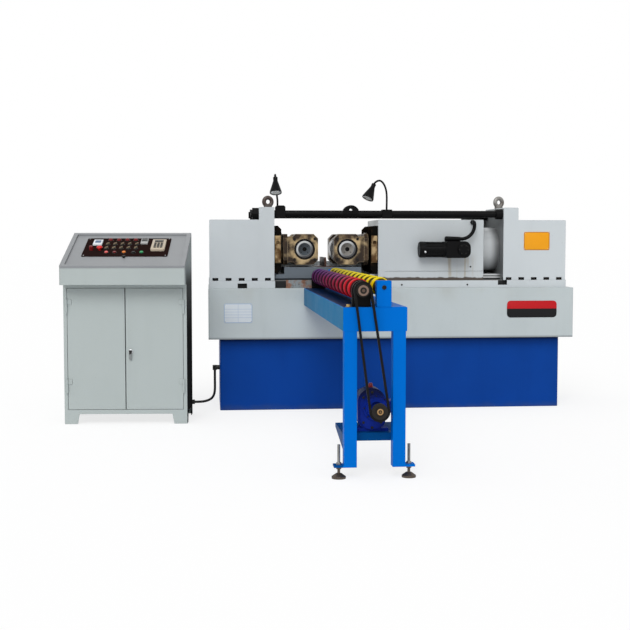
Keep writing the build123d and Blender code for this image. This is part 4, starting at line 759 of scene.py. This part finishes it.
def rounded_plate(width, length, height, corner, edge):
    """Plate with rounded corners and a softened upper edge."""
    shape = bmesh.new()
    bmesh.ops.create_cube(shape, size=1.0)
    bmesh.ops.scale(shape, vec=(width, length, height), verts=shape.verts)
    bmesh.ops.translate(shape, vec=(0, 0, height / 2), verts=shape.verts)
    upright = [line for line in shape.edges
               if abs(line.verts[0].co.z - line.verts[1].co.z) > height / 2]
    soften(shape, upright, corner, 5)
    soften(shape, top_edges(shape), edge, 2)
    return shape


def screw_head(profile, radius, height, steps):
    """Head turned from shares of its radius and height."""
    return turned([(radius * out, height * up) for out, up in profile], steps)


def cap_screw(radius, height):
    """Cap screw with a chamfered head and a sunk socket."""
    profile = [(0, 0.45), (0.5, 0.45), (0.55, 1.0), (0.86, 1.0), (1.0, 0.86), (1.0, 0.0)]
    return screw_head(profile, radius, height, 12)


def pan_screw(radius, height):
    """Domed screw head with a drive worn in its middle."""
    profile = [(0, 0.62), (0.22, 0.66), (0.3, 1.0), (0.62, 0.92), (0.9, 0.6), (1.0, 0.2),
               (1.0, 0.0)]
    return screw_head(profile, radius, height, 16)


def hex_bolt(flats, height):
    """Hexagon head with a chamfered top on a washer."""
    shape = bmesh.new()
    corner = flats / math.sqrt(3)
    bmesh.ops.create_cone(shape, cap_ends=True, segments=6, radius1=corner, radius2=corner,
                          depth=height)
    bmesh.ops.translate(shape, vec=(0, 0, height * 0.75), verts=shape.verts)
    soften(shape, top_edges(shape), height * 0.16, 2)
    washer = screw_head([(0, 0.25), (0.68, 0.25), (0.72, 0.18), (0.72, 0)], flats, height, 20)
    return merged([(shape, Matrix()), (washer, Matrix())])


def merged(parts):
    """One bmesh from several (shape, place) pairs."""
    whole = bmesh.new()
    for shape, place in parts:
        bmesh.ops.transform(shape, matrix=place, verts=shape.verts)
        carrier = bpy.data.meshes.new("carrier")
        shape.to_mesh(carrier)
        shape.free()
        whole.from_mesh(carrier)
        bpy.data.meshes.remove(carrier)
    return whole


def piece(name, parts, finish, body, slot=None):
    """Object at the origin made of placed shapes, riding on a body."""
    whole = merged(parts)
    for face in whole.faces:
        face.smooth = True
    for line in whole.edges:
        if len(line.link_faces) == 2 and line.calc_face_angle(0.0) > sharp_angle:
            line.smooth = False
    mesh = bpy.data.meshes.new(name)
    whole.to_mesh(mesh)
    whole.free()
    mesh.materials.append(finishes[finish] if isinstance(finish, str) else finish)
    made = bpy.data.objects.new(name, mesh)
    scene.collection.objects.link(made)
    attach(made, body)
    return made


def copies(make, sizes, places):
    """The same shape at each of the places."""
    return [(make(*sizes), place) for place in places]


def at(x, y, z):
    """Place of an upright shape."""
    return Matrix.Translation((x, y, z))


def on_front(x, y, z):
    """Place on a front face: the shape's +Z points to the operator."""
    return at(x, y, z) @ facing_front


def on_circle(centre, radius, y, angles):
    """Places on a front face at angles in degrees about a centre at (x, z)."""
    turns = [math.radians(angle) for angle in angles]
    return [on_front(centre[0] + radius * math.cos(turn), y, centre[1] + radius * math.sin(turn))
            for turn in turns]


def on_corners(centre, reach, y):
    """Places on a front face at the corners of a rectangle about a centre at (x, z)."""
    return [on_front(centre[0] + sx * reach[0], y, centre[1] + sz * reach[1])
            for sx in (-1, 1) for sz in (-1, 1)]


# Machine details

def machine_screws():
    """Bolts along the feet of both housings, and screws in the deck and the carriage."""
    first_bolts = (-1.106, 0.739)
    bolt_pitch = 0.081
    places = [at(first + index * bolt_pitch, housing_front + 0.004, deck_top)
              for first in first_bolts for index in range(5)]
    piece("housing_bolts", copies(cap_screw, (0.0085, 0.012), places), "bolt", "frame",
          "black_steel")
    screw = (0.0055, 0.004)
    places = [on_front(x, deck_front, 0.783) for x in (0.056, 0.4727)]
    piece("deck_screws", copies(pan_screw, screw, places), "bolt", "frame", "black_steel")
    places = [on_front(0.4933, housing_front, 0.895)]
    piece("carriage_screw", copies(pan_screw, screw, places), "bolt", "carriage", "black_steel")


def feed_details():
    """Gearbox cover screws, a plug on the motor, and the conduit's gland nut and boot."""
    places = on_circle(gearbox_axis, 0.027, gearbox_front, range(0, 360, 60))
    piece("gearbox_screws", copies(cap_screw, (0.0042, 0.003), places), "bolt", "carriage",
          "black_steel")
    piece("motor_plug", [(pan_screw(0.0075, 0.004), on_front(0.186, -0.4505, 0.989))], "silver",
          "carriage", "zinc_steel")
    nut = turned([(0.0113, 0.0), (0.0113, 0.012), (0.0140, 0.012), (0.0165, 0.009),
                  (0.0165, 0.0)], 6)
    piece("conduit_gland_nut", [(nut, on_front(0.504, housing_front, 1.173))], "black_plastic",
          "carriage", "black_steel")
    boot = turned([(0.0, 0.0), (0.011, 0.0), (0.0165, 0.005), (0.0175, 0.012), (0.0170, 0.026),
                   (0.0140, 0.098), (0.0, 0.101)])
    along = at(0.316, -0.404, 1.0685) @ Matrix.Rotation(math.pi / 2, 4, "Y")
    piece("conduit_boot", [(boot, along)], "black", "carriage", "black_steel")


def wall_plate(name, low, high, y, finish, rivets, corner_share=0.07):
    """Bare plate on a front face, with or without rivets at its corners."""
    width, length = high[0] - low[0], high[1] - low[1]
    middle = ((low[0] + high[0]) / 2, (low[1] + high[1]) / 2)
    plate = rounded_plate(width, length, 0.0016, min(width, length) * corner_share, 0.0005)
    piece(name, [(plate, on_front(middle[0], y, middle[1]))], finish, "frame")
    if rivets:
        places = on_corners(middle, (width / 2 - 0.007, length / 2 - 0.007), y - 0.0014)
        piece(name + "_rivets", copies(pan_screw, (0.0026, 0.0018), places), "silver", "frame",
              "zinc_steel")


def wall_plates():
    """The bare plates on the right housing and on both ends of the bed."""
    orange_corners = ((0.834, 0.999), (1.000, 1.1135))
    badge_corners = ((0.722, 0.575), (1.042, 0.681))
    data_corners = ((-1.054, 0.552), (-0.881, 0.671))
    orange = bordered_plate("orange_plate_paint", *orange_corners, (0.80, 0.33, 0.008),
                            (0.52, 0.20, 0.006), 0.006)
    wall_plate("orange_plate", *orange_corners, housing_front, orange, True)
    two_colour = bordered_plate("two_colour_paint", *badge_corners, (0.46, 0.006, 0.010),
                                (0.010, 0.010, 0.012), 0.0, lower=(0.004, 0.004, 0.005))
    wall_plate("two_colour_plate", *badge_corners, bed_front, two_colour, False, 0.22)
    ruled = bordered_plate("data_plate_paint", *data_corners, (0.58, 0.63, 0.67),
                           (0.24, 0.36, 0.56), 0.003, rule=(0.20, 0.30, 0.50))
    wall_plate("data_plate", *data_corners, bed_front, ruled, True)


machine_screws()
feed_details()
wall_plates()


# Head details

def head_details(side, name):
    """Bearing screws, cover ring and clamp nuts of one head."""
    axis = (work_x + side * spindle_reach, axis_z)
    body = name + "_head"
    places = on_corners(axis, (0.064, 0.064), head_front)
    piece(name + "_bearing_screws", copies(cap_screw, (0.009, 0.007), places), "bolt", body,
          "black_steel")
    seal = turned([(0.0580, -0.004), (0.0580, 0.001), (0.0595, 0.0025), (0.0635, 0.0025),
                   (0.0648, 0.001), (0.0648, -0.004)], 48)
    piece(name + "_bearing_seal", [(seal, on_front(axis[0], head_front, axis[1]))],
          "black_plastic", body)
    inwards = Matrix.Rotation(-side * math.pi / 2, 4, "Y")
    clamp_circle = 0.087
    places = []
    for angle in (52.0, 128.0, 232.0, 308.0):
        y = head_mid + clamp_circle * math.cos(math.radians(angle))
        z = axis_z + clamp_circle * math.sin(math.radians(angle))
        places.append(at(work_x + side * swivel_reach, y, z) @ inwards)
    piece(name + "_clamp_bolts", copies(hex_bolt, (0.020, 0.010), places), "bolt", body,
          "black_steel")


head_details(-1, "left")
head_details(1, "right")


# Stand details

def roller_details():
    """Bolt on the beam, plug of the idle roller and caps of both pulleys."""
    place = at(-0.535, stand_front + 0.022, beam_top)
    piece("beam_bolt", [(hex_bolt(0.017, 0.009), place)], "brass", "frame", "zinc_steel")
    place = on_front(yellow_axis[0], idler_front, yellow_axis[1])
    piece("idler_plugs", [(cap_screw(0.010, 0.004), place)], "bolt", "frame", "black_steel")
    hub = turned([(0.0, 0.004), (0.0065, 0.004), (0.0075, 0.003), (0.0075, 0.001),
                  (0.012, 0.0008), (0.012, 0.0022), (0.022, 0.0022), (0.0235, 0.001),
                  (0.0235, 0.0)], 40)
    place = on_front(red_axis[0], pulley_front, red_axis[1])
    piece("pulley_hub_cap", [(hub, place)], "red_roller", "red_roller", "pulley_iron")
    nut = turned([(0.0, 0.005), (0.006, 0.005), (0.007, 0.004), (0.007, 0.0015),
                  (0.014, 0.0012), (0.0155, 0.0)], 30)
    place = on_front(motor_axis[0], pulley_front, motor_axis[1])
    piece("motor_pulley_cap", [(nut, place)], "motor_pulley", "motor_pulley", "pulley_iron")


def drive_details():
    """Vent plug, output flange, bolts and terminal lid of the drive."""
    plug = turned([(0.0, 0.020), (0.0055, 0.020), (0.0095, 0.016), (0.0105, 0.012),
                   (0.0105, 0.004), (0.0125, 0.003), (0.0125, 0.0)], 20)
    piece("vent_plug", [(plug, at(work_x, stand_front + 0.144, 0.3925))], "dark_red_plastic",
          "frame", "control_plastic")
    flange = turned([(0.030, -0.010), (0.030, 0.016), (0.045, 0.016), (0.049, 0.012),
                     (0.050, 0.006), (0.059, 0.006), (0.061, 0.004), (0.061, -0.010)], 64)
    place = on_front(motor_axis[0], reducer_front, motor_axis[1])
    piece("output_flange", [(flange, place)], "motor", "frame", "motor_paint")
    places = on_circle(motor_axis, 0.0547, reducer_front - 0.006, range(0, 360, 45))
    piece("flange_screws", copies(cap_screw, (0.0034, 0.003), places), "bolt", "frame",
          "black_steel")
    bolt_circle = 0.046
    places = on_circle((work_x, 0.330), bolt_circle, reducer_front, (90, 150))
    places += on_circle((work_x, 0.262), bolt_circle, reducer_front, (210, 270, 330))
    piece("reducer_bolts", copies(hex_bolt, (0.009, 0.005), places), "bolt", "frame",
          "black_steel")
    lid = rounded_plate(0.080, 0.048, 0.006, 0.006, 0.0015)
    upright = Matrix.Rotation(math.pi / 2, 4, "Y") @ Matrix.Rotation(math.pi / 2, 4, "Z")
    piece("terminal_lid", [(lid, at(-0.293, -2.1815, 0.288) @ upright)], "light_blue", "frame",
          "motor_paint")


roller_details()
drive_details()


# Control desk details

on_lid = ("console_lid", "control_plastic")


def on_panel(shares, lift=0.0):
    """Place on the control panel from shares of its width and length."""
    x, y = (middle + share * size
            for middle, share, size in zip(panel_centre, shares, panel_size))
    return lid_place @ at(x, y, panel_lift + lift)


def bezel(radius):
    """Ring round a control."""
    return turned([(radius + 0.003, 0.0), (radius + 0.003, 0.002), (radius + 0.0015, 0.004),
                   (radius - 0.001, 0.004), (radius - 0.001, 0.0)], 28)


def panel_controls():
    """Lamps, buttons and knobs with their bezels, in place of the plain CAD controls."""
    lamps = [on_panel((x, 0.36)) for x in (-0.22, -0.12, -0.02, 0.08)]
    knobs = [(-0.235 + 0.086 * column, 0.12 - 0.22 * row)
             for row in range(2) for column in range(5)]
    columns = {"pink": -0.22, "dark_red": -0.125, "orange": -0.015, "black": 0.095, "green": 0.19}
    buttons = {colour: on_panel((x, -0.33)) for colour, x in columns.items()}
    rims = copies(bezel, (0.0135,), lamps)
    rims += copies(bezel, (0.0112,), [*buttons.values(), *map(on_panel, knobs)])
    rims = piece("control_bezels", rims, "bolt", *on_lid)
    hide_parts("panel_controls")
    lens = [(0.0, 0.0155), (0.006, 0.0146), (0.0110, 0.0112), (0.0132, 0.006), (0.0132, 0.0)]
    piece("pilot_lamps", copies(turned, (lens,), lamps), "dark_red_plastic", *on_lid)
    cap = [(0.0, 0.0095), (0.008, 0.0095), (0.0090, 0.0103), (0.0100, 0.0095), (0.0105, 0.008),
           (0.0105, 0.0)]
    for colour, place in buttons.items():
        piece(colour + "_button", [(turned(cap), place)], colour + "_plastic", *on_lid)
    skirt = [(0.0, 0.0065), (0.0090, 0.0065), (0.0108, 0.0045), (0.0108, 0.0)]
    piece("selector_skirts", copies(turned, (skirt,), map(on_panel, knobs)), "black_plastic",
          *on_lid)
    slant = Matrix.Rotation(math.radians(-40), 4, "Z")
    places = [on_panel(knob, 0.006) @ slant for knob in knobs]
    grips = copies(rounded_plate, (0.0050, 0.024, 0.0080, 0.0015, 0.001), places)
    piece("selector_grips", grips, "tan_plastic", *on_lid)
    mushroom = turned([(0.0, 0.026), (0.009, 0.0252), (0.0145, 0.0225), (0.0178, 0.018),
                       (0.0178, 0.015), (0.013, 0.0125), (0.0085, 0.011), (0.0085, 0.0)], 32)
    piece("stop_button", [(mushroom, on_panel((-0.31, -0.16)))], "red_plastic", *on_lid)
    twist = turned([(0.0, 0.025), (0.008, 0.025), (0.0105, 0.0235), (0.0125, 0.006),
                    (0.0130, 0.0)], 18)
    piece("twist_knob", [(twist, on_panel((-0.41, -0.16)))], "dark_red_plastic", *on_lid)
    latch = turned([(0.0, 0.0135), (0.007, 0.0135), (0.0105, 0.011), (0.0105, 0.006),
                    (0.006, 0.004), (0.006, 0.0)])
    piece("lid_latch", [(latch, lid_place @ at(-0.008, 0.150, 0.0053))], "black_plastic", *on_lid)


def instrument(name, size, shares, finish):
    """Case on the control panel. Gives the place on its front."""
    piece(name, [(rounded_plate(*size), on_panel(shares))], finish, *on_lid)
    return on_panel(shares, size[2])


def panel_instruments():
    """Meter, counter and hand unit with their windows and keys, and the panel's screws."""
    front = instrument("meter_case", (0.054, 0.082, 0.0085, 0.004, 0.002), (-0.36, 0.22),
                       "white_plastic")
    scale = rounded_plate(0.034, 0.036, 0.0008, 0.006, 0.0003)
    piece("meter_scale", [(scale, front @ at(0.0, 0.004, 0.0))], "blue_plastic", *on_lid)
    front = instrument("counter_case", (0.042, 0.076, 0.009, 0.003, 0.0015), (0.190, 0.28),
                       "grey_plastic")
    window = rounded_plate(0.034, 0.044, 0.0008, 0.001, 0.0003)
    piece("counter_window", [(window, front @ at(0.0, 0.012, 0.0))], "black_plastic", *on_lid)
    front = instrument("hand_unit", (0.082, 0.168, 0.013, 0.008, 0.003), (0.37, 0.05),
                       "beige_plastic")
    display = rounded_plate(0.050, 0.030, 0.0015, 0.002, 0.0005)
    piece("hand_unit_display", [(display, front @ at(0.0, 0.050, 0.0))], "black_plastic", *on_lid)
    places = [front @ at((column - 1) * 0.019, 0.014 - row * 0.022, 0.0)
              for row in range(4) for column in range(3)]
    keys = copies(rounded_plate, (0.014, 0.013, 0.003, 0.002, 0.001), places)
    piece("hand_unit_keys", keys, "black_plastic", *on_lid)
    places = [on_panel((sx * 0.475, sy * 0.46)) for sx in (-1, 1) for sy in (-1, 1)]
    piece("panel_screws", copies(pan_screw, (0.004, 0.002), places), "silver", *on_lid)


def lock_ring():
    """Bright ring round the lock on the right door."""
    ring = turned([(0.0, 0.0022), (0.011, 0.0022), (0.0128, 0.0014), (0.0132, 0.0)], 32)
    place = desk_place @ on_front(0.029, 0.0005, 0.420)
    piece("lock_escutcheon", [(ring, place)], "silver", "right_door", "zinc_steel")


panel_controls()
panel_instruments()
lock_ring()
